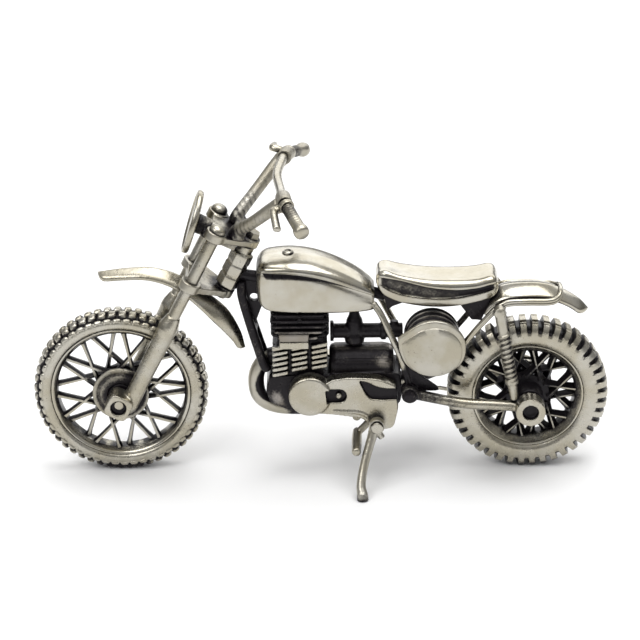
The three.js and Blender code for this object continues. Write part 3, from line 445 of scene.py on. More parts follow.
def in_scene(name, data):
    obj = bpy.data.objects.new(name, data)
    bpy.context.scene.collection.objects.link(obj)
    return obj


def round_edges(obj, width, segments, angle):
    edge = obj.modifiers.new("edge", "BEVEL")
    edge.width = width * MM
    edge.segments = segments
    edge.limit_method = "ANGLE"
    edge.angle_limit = math.radians(angle)


def melt(obj, voxel):
    """Makes overlapping surfaces one skin."""
    remesh = obj.modifiers.new("melt", "REMESH")
    remesh.mode = "VOXEL"
    remesh.voxel_size = voxel * MM


def settle(obj):
    """Makes the modifiers' result the object's own mesh."""
    graph = bpy.context.evaluated_depsgraph_get()
    result = bpy.data.meshes.new_from_object(obj.evaluated_get(graph))
    obj.modifiers.clear()
    obj.data = result


def shade(mesh, angle):
    mesh.shade_smooth()
    mesh.set_sharp_from_angle(angle=math.radians(angle))


def paint(obj, darkness):
    """Stores how far each point is darkened by patina and painted shade, or lightened by painted highlights
    where negative; darkness takes a point in millimetres.
    """
    values = [darkness(vertex.co / MM) for vertex in obj.data.vertices]
    layer = obj.data.attributes.new("patina_and_painted_light", "FLOAT", "POINT")
    layer.data.foreach_set("value", values)


def finished(obj, node, finish, angle, darkness):
    """Gives a piece its finish, by default the one for its CAD node's slot, its CAD node's body, and that
    node's place.
    """
    shade(obj.data, angle)
    if darkness:
        paint(obj, darkness)
    obj.data.materials.clear()
    obj.data.materials.append(FINISH[finish or FINISH_OF_SLOT[SLOT_OF[node]]])
    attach(obj, BODY_OF[node])
    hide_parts(node)


def stand_for(node, form, finish=None, bevel=0.0, angle=38, darkness=None):
    """A piece that takes a CAD node's place."""
    label = f"{node}_fine"
    obj = in_scene(label, mesh_of(label, form))
    if bevel:
        round_edges(obj, bevel, 3, 30)
        settle(obj)
    finished(obj, node, finish, angle, darkness)


def cast(node, forms, cuts=(), finish=None, voxel=0.16, soften=4, darkness=None):
    """Overlapping forms melted into one soft-edged casting, less the cuts."""
    label = f"{node}_fine"
    obj = in_scene(label, mesh_of(label, merge(*forms)))
    melt(obj, voxel)
    tools = [in_scene(f"{label}_cut_{k}", mesh_of("cut", cut)) for k, cut in enumerate(cuts)]
    for tool in tools:
        take = obj.modifiers.new("take", "BOOLEAN")
        take.operation = "DIFFERENCE"
        take.object = tool
        take.solver = "MANIFOLD"
    if cuts:
        melt(obj, voxel)
    soft = obj.modifiers.new("soft", "SMOOTH")
    soft.factor = 0.5
    soft.iterations = soften
    settle(obj)
    for tool in tools:
        bpy.data.objects.remove(tool)
    finished(obj, node, finish, 60, darkness)


# ---------------------------------------------------------------- wheels


def tyre(node, centre, section, lugs, samples, height, darkness, bulge):
    """A tyre whose tread rises from its section by height(distance from the middle, lug share).

    bulge is how much of that rise goes sideways where the section faces sideways.
    """
    half = spline(section, 6)
    loop = [(-y, r) for y, r in half] + [(y, r) for y, r in reversed(half[:-1])]
    reach = [0.0]
    for (y0, r0), (y1, r1) in zip(loop, loop[1:]):
        reach.append(reach[-1] + math.hypot(y1 - y0, r1 - r0))
    reach = [distance - reach[-1] / 2 for distance in reach]
    around = lugs * samples
    rings, shades = [], []
    for k, angle in enumerate(turns(around, 0.5)):
        turn = angle - math.pi / 2
        ring = []
        for j, (y, r) in enumerate(loop):
            before, after = loop[j - 1], loop[(j + 1) % len(loop)]
            out = Vector((before[1] - after[1], after[0] - before[0])).normalized()
            if out.y < 0 and 0 < j < len(loop) - 1:
                out = -out
            rise = height(reach[j], k / samples) if 0 < j < len(loop) - 1 else 0
            shades.append(darkness(reach[j], k / samples, rise))
            y, r = y + bulge * out.x * rise, r + out.y * rise
            ring.append(centre + polar(r, turn, y))
        rings.append(ring)
    points, faces = skin(rings, closed=True)
    tones = {rounded_off(point, 3): tone for point, tone in zip(points, shades)}
    stand_for(node, (points, faces), "polished", angle=50,
              darkness=lambda point: tones.get(rounded_off(point, 3), 0))


def front_tread(reach, place):
    """Round knobs on both edges of the tread, out of step, with a low nub beside each gap."""
    rise = 0.0
    for centre, half, tall, shift in ((1.05, 0.92, 0.98, 0.0), (2.4, 0.42, 0.34, 0.5)):
        near = abs(abs(reach) - centre) / half
        step = abs((place + shift + 0.5 * (reach > 0)) % 1 - 0.5) * 2
        swell = max(1 - near ** 4, 0) * max(1 - (step / 0.82) ** 4, 0)
        rise = max(rise, tall * math.sqrt(swell))
    return rise


NOTCH = 1.5  # how far from the middle each bar of the rear tread is notched


def rear_tread(reach, place):
    """Bars across the tread that run out flush with the sidewalls."""
    step = abs(place % 1 - 0.5) * 2
    bar = 1 - smooth_step(0.5, 0.7, step)
    taper = 1 - smooth_step(1.9, 4.3, abs(reach))
    notch = 1 - 0.22 * peak(abs(reach), NOTCH, 0.2)
    return 1.3 * bar * taper * notch


def front_dirt(reach, place, rise):
    """The patina lies between the knobs and stripes every second one."""
    gap = 1 - smooth_step(0.1, 0.45, rise)
    gap *= 1 - smooth_step(2.0, 2.6, abs(reach))
    second = 0.5 + 0.5 * math.cos(math.pi * (place + 0.5 * (reach > 0)))
    band = peak(abs(reach), 1.9, 0.2) * (0.3 + 0.7 * second)
    stripe = peak(abs(reach), 1.0, 0.16) * second * 0.7
    return max(0.9 * gap, 0.9 * band, stripe)


def rear_dirt(reach, place, rise):
    """The patina fills the slots and marks the notches across the bars."""
    step = abs(place % 1 - 0.5) * 2
    slot = smooth_step(0.52, 0.72, step) * (1 - smooth_step(3.0, 3.9, abs(reach)))
    return max(slot, 0.35 * peak(abs(reach), NOTCH, 0.2))


def rim(node, centre, inner, outer, half):
    lip = outer - 0.3
    profile = [(inner, 0), (inner, 0.55 * half), (inner + 0.3, 0.66 * half), (lip - 0.45, 0.84 * half)]
    profile += [(lip - 0.15, half - 0.05), (lip + 0.1, half + 0.05), (outer, half - 0.1)]
    profile += [(outer - 0.05, half - 0.4), (outer - 0.6, 0.6 * half), (inner + 0.75, 0)]
    mirror = [(r, -h) for r, h in reversed(profile[1:-1])]
    form = lathe([*profile, *mirror], across(centre.x, centre.z), 128, ring=True)

    def darkness(point):
        r = off_axis(point, centre)
        inside = 1 - smooth_step(lip - 0.55, lip - 0.2, r)
        groove = smooth_step(outer - 0.12, outer - 0.02, r)
        low = smooth_step(0.1, 0.9, (centre.z - point.z) / r)
        return max(inside * (0.9 - 0.22 * low), 0.9 * groove)

    stand_for(node, form, "mirror", bevel=0.1, darkness=darkness)


def spoke(start, end, depth, narrow, wide):
    """A deep bar: bright ridges on its two narrow sides, a broad dark web between them."""
    ahead = (end - start).normalized()
    side = ahead.cross(Vector((0, 1, 0))).normalized()
    rings = []
    for share, scale in ((0, 1.5), (0.12, 1.1), (0.5, 0.92), (0.88, 1.1), (1, 1.5)):
        ring = []
        for u, v in ((-narrow, 1), (narrow, 1), (narrow + 0.04, 0.62), (wide, 0.1), (wide, -0.1),
                     (narrow + 0.04, -0.62), (narrow, -1), (-narrow, -1), (-narrow - 0.04, -0.62),
                     (-wide, -0.1), (-wide, 0.1), (-narrow - 0.04, 0.62)):
            ring.append(start.lerp(end, share) + side * u * scale + Vector((0, depth * v, 0)))
        rings.append(ring)
    return skin(rings)


SPOKE_PAIRS = 12
SPOKE_SPREAD = (1.5, 0.55)  # how far from the wheel's middle plane a spoke starts and ends


def spokes(node, centre, radii, leans, depth, narrow, wide, bright):
    """Crossed pairs of bars from the hub's radius to the rim's, leaning by two angles."""
    bars = []
    for k, apex in enumerate(turns(SPOKE_PAIRS)):
        for lean in (-1, 1):
            side = -1 if (k if lean > 0 else k - 1) % 2 == 0 else 1
            start, end = (centre + polar(r, apex + lean * math.radians(angle), side * spread)
                          for r, angle, spread in zip(radii, leans, SPOKE_SPREAD))
            bars.append(spoke(start, end, depth, narrow, wide))
    points, faces = merge(*bars)
    corners = 12
    tones = {}
    for k, point in enumerate(points):
        ridge = k % corners in (0, 1, 6, 7)
        near_hub = 1 - smooth_step(radii[0] + 0.5, radii[0] + 3.5, off_axis(point, centre))
        # Ridges darken near the hub, and the far-side bars get a painted shade.
        web = 0.5 * near_hub + 0.22 * smooth_step(-0.2, 0.2, point.y)
        tones[rounded_off(point, 2)] = (1 - bright + web) if ridge else 0.95
    stand_for(node, (points, faces), "satin", angle=70,
              darkness=lambda point: tones.get(rounded_off(point, 2), 0.6))


HUB_BORE = 1.1


def turned_hub(node, centre, low, high, barrel, flange):
    profile = [(HUB_BORE, low), (barrel * 0.93, low), (barrel, low + 0.25), (barrel, -2.1), (flange, -2.05)]
    profile += [(flange, -1), (barrel, -0.8), (barrel * 0.94, 0), (barrel, 0.8), (flange, 1)]
    profile += [(flange, 2.05), (barrel, 2.1), (barrel, high - 0.25), (barrel * 0.93, high)]
    profile.append((HUB_BORE, high))
    stand_for(node, lathe(profile, across(centre.x, centre.z), 64, ring=True), "black", bevel=0.12)


def front_wheel():
    section = [(1.55, 13.95), (2.1, 14.12), (2.5, 14.6), (2.6, 15.3), (2.42, 15.95), (1.95, 16.42),
               (1.05, 16.68), (0, 16.74)]
    tyre("front_tyre", FRONT, section, 52, 16, front_tread, front_dirt, 1.0)
    rim("front_rim", FRONT, 12.9, 14.15, 2.3)
    spokes("front_spokes", FRONT, (4.5, 12.95), (39, 4.2), 0.95, 0.2, 0.42, 0.85)
    turned_hub("front_hub", FRONT, -3.35, 3.35, 2.5, 4.7)


def brake_drum():
    profile = [(2.65, -2.15), (5.5, -2.15), (5.68, -2.3), (5.7, -2.8), (5.5, -2.98), (5.0, -2.96)]
    profile += [(4.7, -2.8), (4.3, -2.85), (4.0, -3.1), (3.2, -3.32), (2.65, -3.35)]
    form = lathe(profile, across(FRONT.x, FRONT.z), 96, ring=True)

    def darkness(point):
        r = off_axis(point, FRONT)
        return 0.12 + 0.35 * peak(r, 4.5, 0.5) + 0.3 * (1 - smooth_step(3.0, 4.0, r))

    stand_for("front_brake_drum", form, "rough", bevel=0.1, darkness=darkness)


def rear_wheel():
    section = [(2.2, 11.1), (2.8, 11.35), (3.2, 12.1), (3.3, 13.0), (3.22, 13.8), (2.8, 14.5),
               (1.6, 14.95), (0, 15.0)]
    tyre("rear_tyre", REAR, section, 42, 20, rear_tread, rear_dirt, 0.3)
    rim("rear_rim", REAR, 9.6, 11.3, 2.8)
    spokes("rear_spokes", REAR, (4.0, 9.75), (37, 5), 1.25, 0.13, 0.78, 0.75)
    turned_hub("rear_hub", REAR, -6.25, 6.15, 3.05, 4.4)


def rear_sprocket():
    teeth = 18
    around = turns(teeth * 4)
    tips = [4.5 - 0.35 * (0.5 + 0.5 * math.cos(teeth * turn)) for turn in around]
    rings = []
    for radii, y in ((tips, 4.5), (tips, 4.95), ([3.2] * len(tips), 4.95), ([3.2] * len(tips), 4.5)):
        rings.append([Vector((REAR.x, 0, REAR.z)) + polar(r, turn, y) for r, turn in zip(radii, around)])
    stand_for("rear_sprocket", skin(rings, closed=True), "rough", bevel=0.05)


# ---------------------------------------------------------------- steering


def fork(x, y, z):
    """A point given from the steering head, along the steering axis."""
    return FORK @ Vector((x, y, z))


def fork_height(point):
    """How far along the steering axis a point is from the steering head."""
    return (point - HEAD).dot(STEER_AXIS)


BAR_HALF = [(-8, 0, 63.9), (-7.3, 7, 63.8), (-6.3, 13.3, 63.3), (-3.2, 21.2, 60.9)]


def fork_tube(side, leg):
    r = 1.25
    tube_profile = [(0, -14), (r, -14), (r, 8), (1.5, 8.02), (1.64, 8.12), (1.66, 8.4), (1.58, 8.75)]
    tube_profile += [(1.35, 9.05), (1.0, 9.3), (0.55, 9.45), (0, 9.5)]
    stand_for(f"fork_tube_{side}", lathe(tube_profile, leg, 48), "polished",
              darkness=lambda point: 0.45 * smooth_step(-0.3, 0.3, fork_height(point) - 8))


def fork_slider(side, s, leg):
    body_profile = [(0, -35.6), (1.2, -35.5), (1.55, -35), (1.85, -34), (1.75, -27), (1.92, -16.6)]
    body_profile += [(2.05, -15.2), (1.97, -14.3), (1.75, -13.4), (1.52, -12.6), (1.4, -12.2)]
    body_profile += [(1.15, -12.1), (0, -12.1)]
    body = lathe(body_profile, leg, 48)
    half = 2.45
    centre = FRONT_IN_FORK + Vector((0.15, 0, -0.55))
    square = rounded([(centre.x + half * a, centre.z + half * b)
                      for a, b in ((-1, -1), (1, -1), (1, 1), (-1, 1))], 0.3)
    lug = prism(square, s * 3.75, s * 8.2, FORK)
    mouth = FORK @ Matrix.Translation((centre.x, s * 7.1, centre.z))
    turn = Matrix.Rotation(-s * math.pi / 2, 4, "X")
    hole = lathe([(0, 0), (1.55, 0), (1.66, 2), (0, 2)], mouth @ turn, 32)
    inner = mouth.to_translation()

    def darkness(point):
        bore = 1 - smooth_step(1.5, 1.75, off_axis(point, inner))
        deep = bore * (1 - smooth_step(7.3, 7.9, abs(point.y)))
        return max(0.9 * deep, 0.04 * peak(fork_height(point), -12.9, 0.5))

    cast(f"fork_slider_{side}", [body, lug], [hole], "polished", 0.15, 3, darkness)


def fork_legs():
    for side, s in SIDES:
        leg = FORK @ Matrix.Translation((LEG_X, s * LEG_Y, 0))
        fork_tube(side, leg)
        fork_slider(side, s, leg)


def front_axle():
    axle = lathe([(0, -7.9), (0.85, -7.9), (1, -7.75), (1, 7.75), (0.85, 7.9), (0, 7.9)],
                 across(FRONT.x, FRONT.z), 48)
    stand_for("front_axle", axle, "polished")


def clamps():
    outline = [(-8.2, 5.3), (-8.2, -5.3), (-6.4, -7.1), (0.6, -2.2), (0.6, 2.2), (-6.4, 7.1)]
    for node, low, high in (("lower_clamp", -5.6, -3.85), ("upper_clamp", 6.3, 8)):
        deck = slab(outline, low + 0.25, high - 0.25)
        bosses = [rod(fork(LEG_X, s * LEG_Y, low - 0.05), fork(LEG_X, s * LEG_Y, high + 0.05), 2.1)
                  for _, s in SIDES]
        stem = rod(fork(0, 0, low - 0.05), fork(0, 0, high + 0.05), 2.05)
        middle = (low + high) / 2

        def darkness(point, middle=middle, half=(high - low) / 2):
            local = FORK.inverted() @ point
            flat = smooth_step(half - 0.5, half - 0.2, abs(local.z - middle))
            from_leg = math.hypot(local.x - LEG_X, abs(local.y) - LEG_Y)
            return 0.45 * flat * smooth_step(2.0, 2.6, from_leg)

        cast(node, [deck, *bosses, stem], (), "satin", 0.14, 3, darkness)


def plate():
    lean = math.radians(17.4)
    centre = Vector((-24.8, 0, 54.2))
    turn = Matrix.Rotation(lean, 4, "Y") @ Matrix.Rotation(-math.pi / 2, 4, "Y")
    squeeze = Matrix.Diagonal((1, 0.86, 1, 1))
    place = Matrix.Translation(centre) @ turn @ squeeze
    r = 6.55
    profile = [(0, -0.6), (r - 0.5, -0.62), (r - 0.15, -0.45), (r, -0.1), (r, 0.3), (r - 0.15, 0.6)]
    profile += [(r - 0.4, 0.68), (r - 0.65, 0.6), (r - 0.95, 0.34), (r - 2, 0.36), (0, 0.5)]
    stand_for("number_plate", lathe(profile, place, 96), "polished", angle=50)
    back = Matrix.Translation(centre) @ turn
    end = fork(-7.6, 0, 6.0)
    start = back @ Vector((0, 0, -0.75))
    stub = rod(start, end, 2.0, 1.8)
    strap = slab(((-9.3, -2.9), (-2.15, -2.9), (-2.15, 1.3), (-9.3, 1.3)), 4.8, 6.2)
    cast("plate_bracket", [stub, strap], (), "rough", 0.15, 3,
         darkness=lambda point: 0.35 * smooth_step(52, 54.5, point.z))


def below_route(route, slope):
    """Measures how far points lie below a fender's route, less slope times their distance aside."""
    path = spline([(x, 0, z) for x, z in route], 8)

    def below(point):
        near = min(path, key=lambda q: (q.x - point.x) ** 2 + (q.z - point.z) ** 2)
        return near.z - point.z - slope * abs(point.y)

    return below


def front_fender():
    route = [(-44, 43.4), (-38.5, 44.1), (-33.6, 44.2), (-28.7, 42.8), (-24.6, 40), (-19.2, 35.6),
             (-16.4, 30.6), (-15.4, 26.6)]
    widths = [1.7, 1.95, 2.2, 2.4, 2.6, 2.8, 2.9, 3, 2.9, 2.4, 1.6, 0.6]
    form = blade(route, widths, 0.7, lambda t: 0.42 + 0.4 * smooth_step(0.5, 0.8, t), 0.3, (1.5, 0.6))
    below = below_route(route, 0.3)

    def darkness(point):
        # Painted shade on the steep lower sides and underside of the fender's rear part.
        return 0.8 * smooth_step(0.35, 0.75, below(point)) * smooth_step(-24, -20, point.x)

    stand_for("front_fender", form, "polished", angle=55, darkness=darkness)


def bar_point(k, s):
    x, y, z = BAR_HALF[k]
    return Vector((x, s * y, z))


def handlebar():
    points = [bar_point(3, -1), bar_point(2, -1), bar_point(1, -1), bar_point(0, 1)]
    points += [bar_point(1, 1), bar_point(2, 1), bar_point(3, 1)]
    stand_for("handlebar", tube(points, 0.9, 24, 8), "polished")


def bar_risers():
    legs = []
    for _, s in SIDES:
        base = fork(-3.4, s * 3.8, 8.3)
        route = [base, base + Vector((0.3, s * 0.3, 1.2)), Vector((-12.9, s * 7.5, 57)),
                 Vector((-9.2, s * 10.6, 60.9)), Vector((-7.3, s * 12, 62.6))]
        legs.append(tube(route, lambda t: 1.55 - 0.3 * math.sin(math.pi * t), 24, 6))
        start = bar_point(1, s).lerp(bar_point(2, s), 0.5)
        legs.append(rod(start, bar_point(2, s), 1.5, 1.5))
        foot = fork(-3.3, s * 3.6, 8.1)
        legs.append(rod(foot, fork(-3.3, s * 3.6, 9.6), 1.75, 1.6))
    bridge = rod(fork(-3.1, -3.7, 9), fork(-3.1, 3.7, 9), 0.9)

    def darkness(point):
        groove = 0.5 + 0.5 * math.sin(point.z * 1.3 + point.x * 5.2 + abs(point.y) * 2.1)
        low = 1 - smooth_step(52, 60, point.z)
        return 0.3 * low + 0.25 * groove * (1 - smooth_step(60, 62, point.z))

    cast("bar_risers", [*legs, bridge], (), "rough", 0.15, 3, darkness)


def grips():
    for side, s in SIDES:
        start = bar_point(2, s).lerp(bar_point(3, s), 0.16)
        ahead = (bar_point(3, s) - bar_point(2, s)).normalized()
        length = (bar_point(3, s) - start).length + 0.85
        profile = [(0, 0), (1.1, 0), (1.2, 0.15)]
        ribs = 9
        for k in range(ribs):
            h = 0.35 + k * (length - 2.4) / ribs
            profile += [(1.12, h), (1.2, h + 0.18), (1.2, h + 0.42)]
        profile += [(1.2, length - 2), (1.42, length - 1.6), (1.5, length - 1), (1.45, length - 0.35)]
        profile += [(1.2, length - 0.05), (0, length)]

        def darkness(point, start=start, ahead=ahead, length=length):
            share = (point - start).dot(ahead) / length
            return 0.6 * (1 - smooth_step(0.3, 0.75, share))

        stand_for(f"grip_{side}", lathe(profile, along(start, start + ahead), 40), "satin", angle=50,
                  darkness=darkness)


def levers():
    routes = {
        "clutch_lever": (-1, [(-6.2, 14, 63), (-8.1, 14, 62.4), (-8.4, 15.2, 62.1), (-7.8, 19.4, 60.7)]),
        "brake_lever": (1, [(-6.4, 14, 63.3), (-8.7, 14, 64.1), (-9.2, 15.2, 63.9), (-9, 19.4, 62.6)]),
    }
    for node, (s, route) in routes.items():
        points = [Vector((x, s * y, z)) for x, y, z in route]
        blade_form = tube(points, lambda t: 0.76 + 0.1 * t, 16, 8, flat=0.8)
        start = bar_point(2, s).lerp(bar_point(3, s), 0.03)
        end = bar_point(2, s).lerp(bar_point(3, s), 0.145)
        cast(node, [blade_form, rod(start, end, 1.5)], (), "polished", 0.12, 3)


# ---------------------------------------------------------------- frame tubes


def head_tube():
    """Three six-sided rings on a round tube."""
    forms = [lathe([(1.15, -3.65), (1.7, -3.65), (1.7, 6.05), (1.15, 6.05)], FORK, 48, ring=True)]
    place = FORK @ Matrix.Rotation(math.radians(-62), 4, "Z")
    for k in range(3):
        low = -3.6 + 2.72 * k
        profile = [(1.4, low), (2.25, low), (2.36, low + 0.35), (2.36, low + 2.15), (2.25, low + 2.5)]
        forms.append(lathe([*profile, (1.4, low + 2.5)], place, 6, ring=True))
    bore = rod(fork(0, 0, -8), fork(0, 0, 10), 1.15)
    cast("head_tube", forms, [bore], "polished", 0.12, 3)


def strut_rear(point):
    """1 behind the strut's straight run, where the gusset is."""
    return smooth_step(0.75, 1.0, point.x - (16 - 0.45 * (point.z - 27)))


def backbone_tube():
    spine = tube([(-15.6, 0, 42.8), (-4, 0, 41), (9, 0, 38.9), (12.8, 0, 37.9)], 1.15)
    web = prism(rounded([(-16, 41.8), (-11.4, 41.6), (-11.2, 37), (-13.2, 31.6)], 0.12), -0.7, 0.7)
    hole = rod((-13.1, -2, 38), (-13.1, 2, 38), 0.85)
    cast("backbone_tube", [spine, web], [hole], "black", 0.16, 3)


def downtubes():
    runs = []
    for _, s in SIDES:
        runs.append(tube([(-15.5, s * 1.3, 41.2), (-15.2, s * 1.85, 37.6), (-11.8, s * 2.6, 25.2),
                          (-10.7, s * 2.75, 23)], 0.95))
    runs.append(rod((-13.3, -2.3, 30.8), (-13.3, 2.3, 30.8), 0.7))
    cast("downtubes", runs, (), "black", 0.16, 3)


def frame_struts():
    gusset = rounded([(16.2, 26.2), (18, 24.4), (23.4, 20.3), (23.8, 19.4), (19.4, 19.2), (17.4, 19.6)],
                     0.2)

    def darkness(point):
        return 0.95 * max(1 - smooth_step(23.5, 26, point.z), strut_rear(point))

    for side, s in SIDES:
        route = [(10.7, s * 3.0, 37.4), (12.2, s * 4.1, 35.4), (13.8, s * 5.0, 32), (16, s * 5.8, 27),
                 (PIVOT.x, s * 5.8, PIVOT.z + 1)]
        eye = rod((PIVOT.x, s * 5.1, PIVOT.z), (PIVOT.x, s * 6.5, PIVOT.z), 1.68)
        bar = tube(route, lambda t: 0.66 + 0.06 * t)
        cast(f"frame_strut_{side}", [bar, eye, prism(gusset, s * 5.4, s * 6.0)], (), "polished", 0.13, 2,
             darkness)


def loop_tube():
    half = [(28.9, 5.3, 29.7), (32.3, 5.2, 34), (36.2, 4.9, 37.6), (40.5, 4.75, 38.1), (45.4, 4.5, 38),
            (47.3, 3.3, 38.2), (48, 1.5, 38.8)]
    points = [Vector((x, -y, z)) for x, y, z in half]
    points += [Vector(corner) for corner in reversed(half)]
    points.append(Vector((26.4, 5.3, 26.6)))
    upper = tube([p + Vector((0, 0, 0.26)) for p in points], 0.46, 14, 6)
    lower = tube([p - Vector((0, 0, 0.3)) for p in points], 0.42, 14, 6)

    def darkness(point):
        # Painted shadow on the lower run of the far-side rail.
        return 0.85 * smooth_step(1, 3, point.y) * (1 - smooth_step(34, 37, point.z))

    stand_for("rear_loop_tube", merge(upper, lower), "mirror", angle=60, darkness=darkness)


def swingarm_pivot():
    profile = [(0, -9.65), (0.9, -9.65), (1.15, -9.5), (1.3, -8.95), (0.9, -8.9), (0.9, 8.9)]
    profile += [(1.3, 8.95), (1.15, 9.5), (0.9, 9.65), (0, 9.65)]
    stand_for("swingarm_pivot", lathe(profile, across(PIVOT.x, PIVOT.z), 40), "black")


def rear_axle():
    ends = [(0, -9.2)]
    for k in range(6):
        ends += [(1.0, -9.2 + 0.35 * k), (0.8, -9.03 + 0.35 * k)]
    ends += [(1, -7), (1, 7), (1, 9.5), (0.9, 9.6), (0, 9.6)]
    stand_for("rear_axle", lathe(ends, across(REAR.x, REAR.z), 40), "black")


ARM_Y = 7.6


def swingarms():
    for side, s in SIDES:
        start = Vector((PIVOT.x, s * ARM_Y, PIVOT.z))
        bend = Vector((28, s * ARM_Y, 17.4))
        end = Vector((REAR.x, s * ARM_Y, REAR.z))
        bars = [tube([start, bend, bend.lerp(end, 0.5), end], lambda t: 1.0 + 0.1 * t, 24, 6)]
        bars.append(tube([start + Vector((1, -s * 0.5, 0.35)), bend + Vector((0, -s * 0.5, 0.5)),
                          end - Vector((3, s * 0.5, -0.6))], 0.45, 12, 6))
        eye = rod((PIVOT.x, s * (ARM_Y - 1), PIVOT.z), (PIVOT.x, s * (ARM_Y + 1.2), PIVOT.z), 1.68)
        boss = rod((REAR.x, s * 7.02, REAR.z), (REAR.x, s * 10.36, REAR.z), 2.98)
        hole = rod((REAR.x, s * 9.1, REAR.z), (REAR.x, s * 12, REAR.z), 1.62)

        def darkness(point):
            forward = 1 - smooth_step(20, 36, point.x)
            under = 1 - smooth_step(-0.2, 0.6, point.z - (17.4 - 0.08 * (point.x - 28)))
            arm = (0.35 + 0.35 * under) * (1 - smooth_step(37.5, 39, point.x))
            bore = 1 - smooth_step(1.5, 1.8, off_axis(point, REAR))
            bore *= 1 - smooth_step(9.6, 10.2, abs(point.y))
            return max(forward * 0.75, arm * (0.6 + 0.4 * forward), bore)

        cast(f"swingarm_{side}", [*bars, eye, boss], [hole], "polished", 0.15, 3, darkness)


SHOCK_RODS = (  # start and end as shares of the way down, start and end radius
    (0.0, 0.27, 1.15, 0.95),
    (0.22, 0.86, 0.85, 0.85),
    (0.77, 0.81, 1.3, 1.3),
    (0.8, 0.985, 1.0, 0.85),
)


def shocks():
    for side, s in SIDES:
        top = Vector((35.5, s * 6.9, 37.1))
        foot = Vector((38.9, s * ARM_Y, 17.9))
        forms = [tube([top.lerp(foot, -0.02), top.lerp(foot, 0.03)], 1.2, 24, 2)]
        for low, high, r0, r1 in SHOCK_RODS:
            forms.append(rod(top.lerp(foot, low), top.lerp(foot, high), r0, r1))
        forms.append(coil(top.lerp(foot, 0.24), top.lerp(foot, 0.78), 0.98, 0.34, 10))
        forms.append(rod((top.x, s * 5.85, top.z), (top.x, s * 7.9, top.z), 1.1))

        def darkness(point):
            middle = smooth_step(19.5, 22, point.z) * (1 - smooth_step(31, 32.5, point.z))
            rear = smooth_step(0.2, 0.9, point.x - (35.5 + (37.1 - point.z) * 0.177))
            return 0.12 * middle + 0.45 * rear

        cast(f"shock_{side}", forms, (), "satin", 0.11, 2, darkness)


# ---------------------------------------------------------------- bodywork

TANK = [  # x, top, crease, bottom, half-width at the lip, inset below it
    (-12.55, 44.6, 43.9, 40.2, 2.4, 0.05),
    (-12.25, 45.7, 44.5, 38.4, 3.7, 0.2),
    (-11.3, 46.6, 45.2, 37.1, 4.9, 0.5),
    (-9.6, 47.1, 45.4, 36.45, 5.6, 0.6),
    (-5.6, 47.4, 45.3, 36.2, 6, 0.6),
    (-1, 46.8, 44.5, 36.15, 5.9, 0.45),
    (3.4, 45.3, 43, 36, 5.4, 0.3),
    (7.4, 43.2, 41.2, 35.9, 4.7, 0.15),
    (9.9, 41.2, 40.0, 35.85, 3.9, 0.1),
    (10.6, 40.4, 39.5, 35.95, 3.55, 0.1),
    (10.85, 40.1, 39.35, 36.15, 3.35, 0.1),
]


def fuel_tank():
    stations = spline(TANK, 9)
    rings = []
    for x, top, crease, bottom, w, inset in stations:
        side = w - inset
        dome = top - crease
        half = [(0, bottom), (0.5 * side, bottom), (side - 1.1, bottom + 0.05), (side - 0.3, bottom + 0.35)]
        half += [(side - 0.02, bottom + 1.2), (side + 0.05, (bottom + crease) / 2 - 0.4)]
        half += [(side - 0.12, crease - 1.8), (side - 0.34, crease - 0.75), (side - 0.3, crease - 0.35)]
        half += [(w - 0.06, crease - 0.12), (w, crease + 0.12), (w - 0.22, crease + 0.42 * dome)]
        half += [(0.8 * w, crease + 0.74 * dome), (0.52 * w, top - 0.1 * dome), (0, top)]
        rings.append(shell_ring(x, half, 6))

    def crease_at(x):
        for before, after in zip(stations, stations[1:]):
            if x <= after[0]:
                return before[2] + (after[2] - before[2]) * (x - before[0]) / (after[0] - before[0])
        return stations[-1][2]

    def darkness(point):
        below = crease_at(point.x) - point.z
        front = 1 - smooth_step(-10, 10, point.x)
        start = smooth_step(-11.6, -10.4, point.x)
        depth = (0.4 + 2.1 * front) * start
        band = smooth_step(0.05, 0.25, below) * (1 - smooth_step(0.55 * depth, max(depth, 0.01), below))
        nose = 1 - smooth_step(-12.3, -11.2, point.x)
        line = peak(below, 0.22, 0.14)
        return max(0.95 * band * (0.7 + 0.3 * front), 0.8 * nose, 0.6 * line)

    stand_for("fuel_tank", skin(rings), "mirror", angle=60, darkness=darkness)


def filler_cap():
    low, high = size("filler_cap")
    centre = (low + high) / 2
    place = Matrix.Translation((centre.x, 0, low.z))
    profile = [(0, 0.1), (1.12, 0.1), (1.15, 0.5), (1.0, 0.72), (0.8, 0.85), (0.62, 0.9), (0.5, 0.7)]
    profile.append((0, 0.66))
    stand_for("filler_cap", lathe(profile, place, 40), "satin", angle=40,
              darkness=lambda point: 0.5 * smooth_step(-0.2, 0.5, point.x - centre.x))


SEAT = [  # x, top, crease, bottom, half-width
    (11.22, 42.7, 42.3, 41.5, 2.0),
    (11.6, 43.8, 42.9, 40.6, 2.9),
    (12.4, 44.3, 43.2, 39.6, 3.4),
    (13.6, 44.3, 43.1, 38.7, 3.65),
    (16.5, 43.4, 42.6, 37.6, 3.9),
    (21.5, 42.6, 41.4, 36.95, 4.4),
    (26.5, 42.4, 40.9, 37.05, 4.6),
    (30.8, 42.6, 41.2, 37.85, 4.6),
    (33.6, 43.2, 41.8, 38.6, 4.4),
    (34.7, 43.0, 41.9, 39.1, 4.0),
    (35.3, 42.2, 41.6, 39.8, 3.3),
    (35.48, 41.5, 41.2, 40.3, 2.6),
]


def rail_height(x, crease, bottom):
    """The top of the bright rail along the seat's lower edge."""
    return bottom + min(1.75, (0.42 + 0.12 * smooth_step(20, 34, x)) * (crease - bottom))


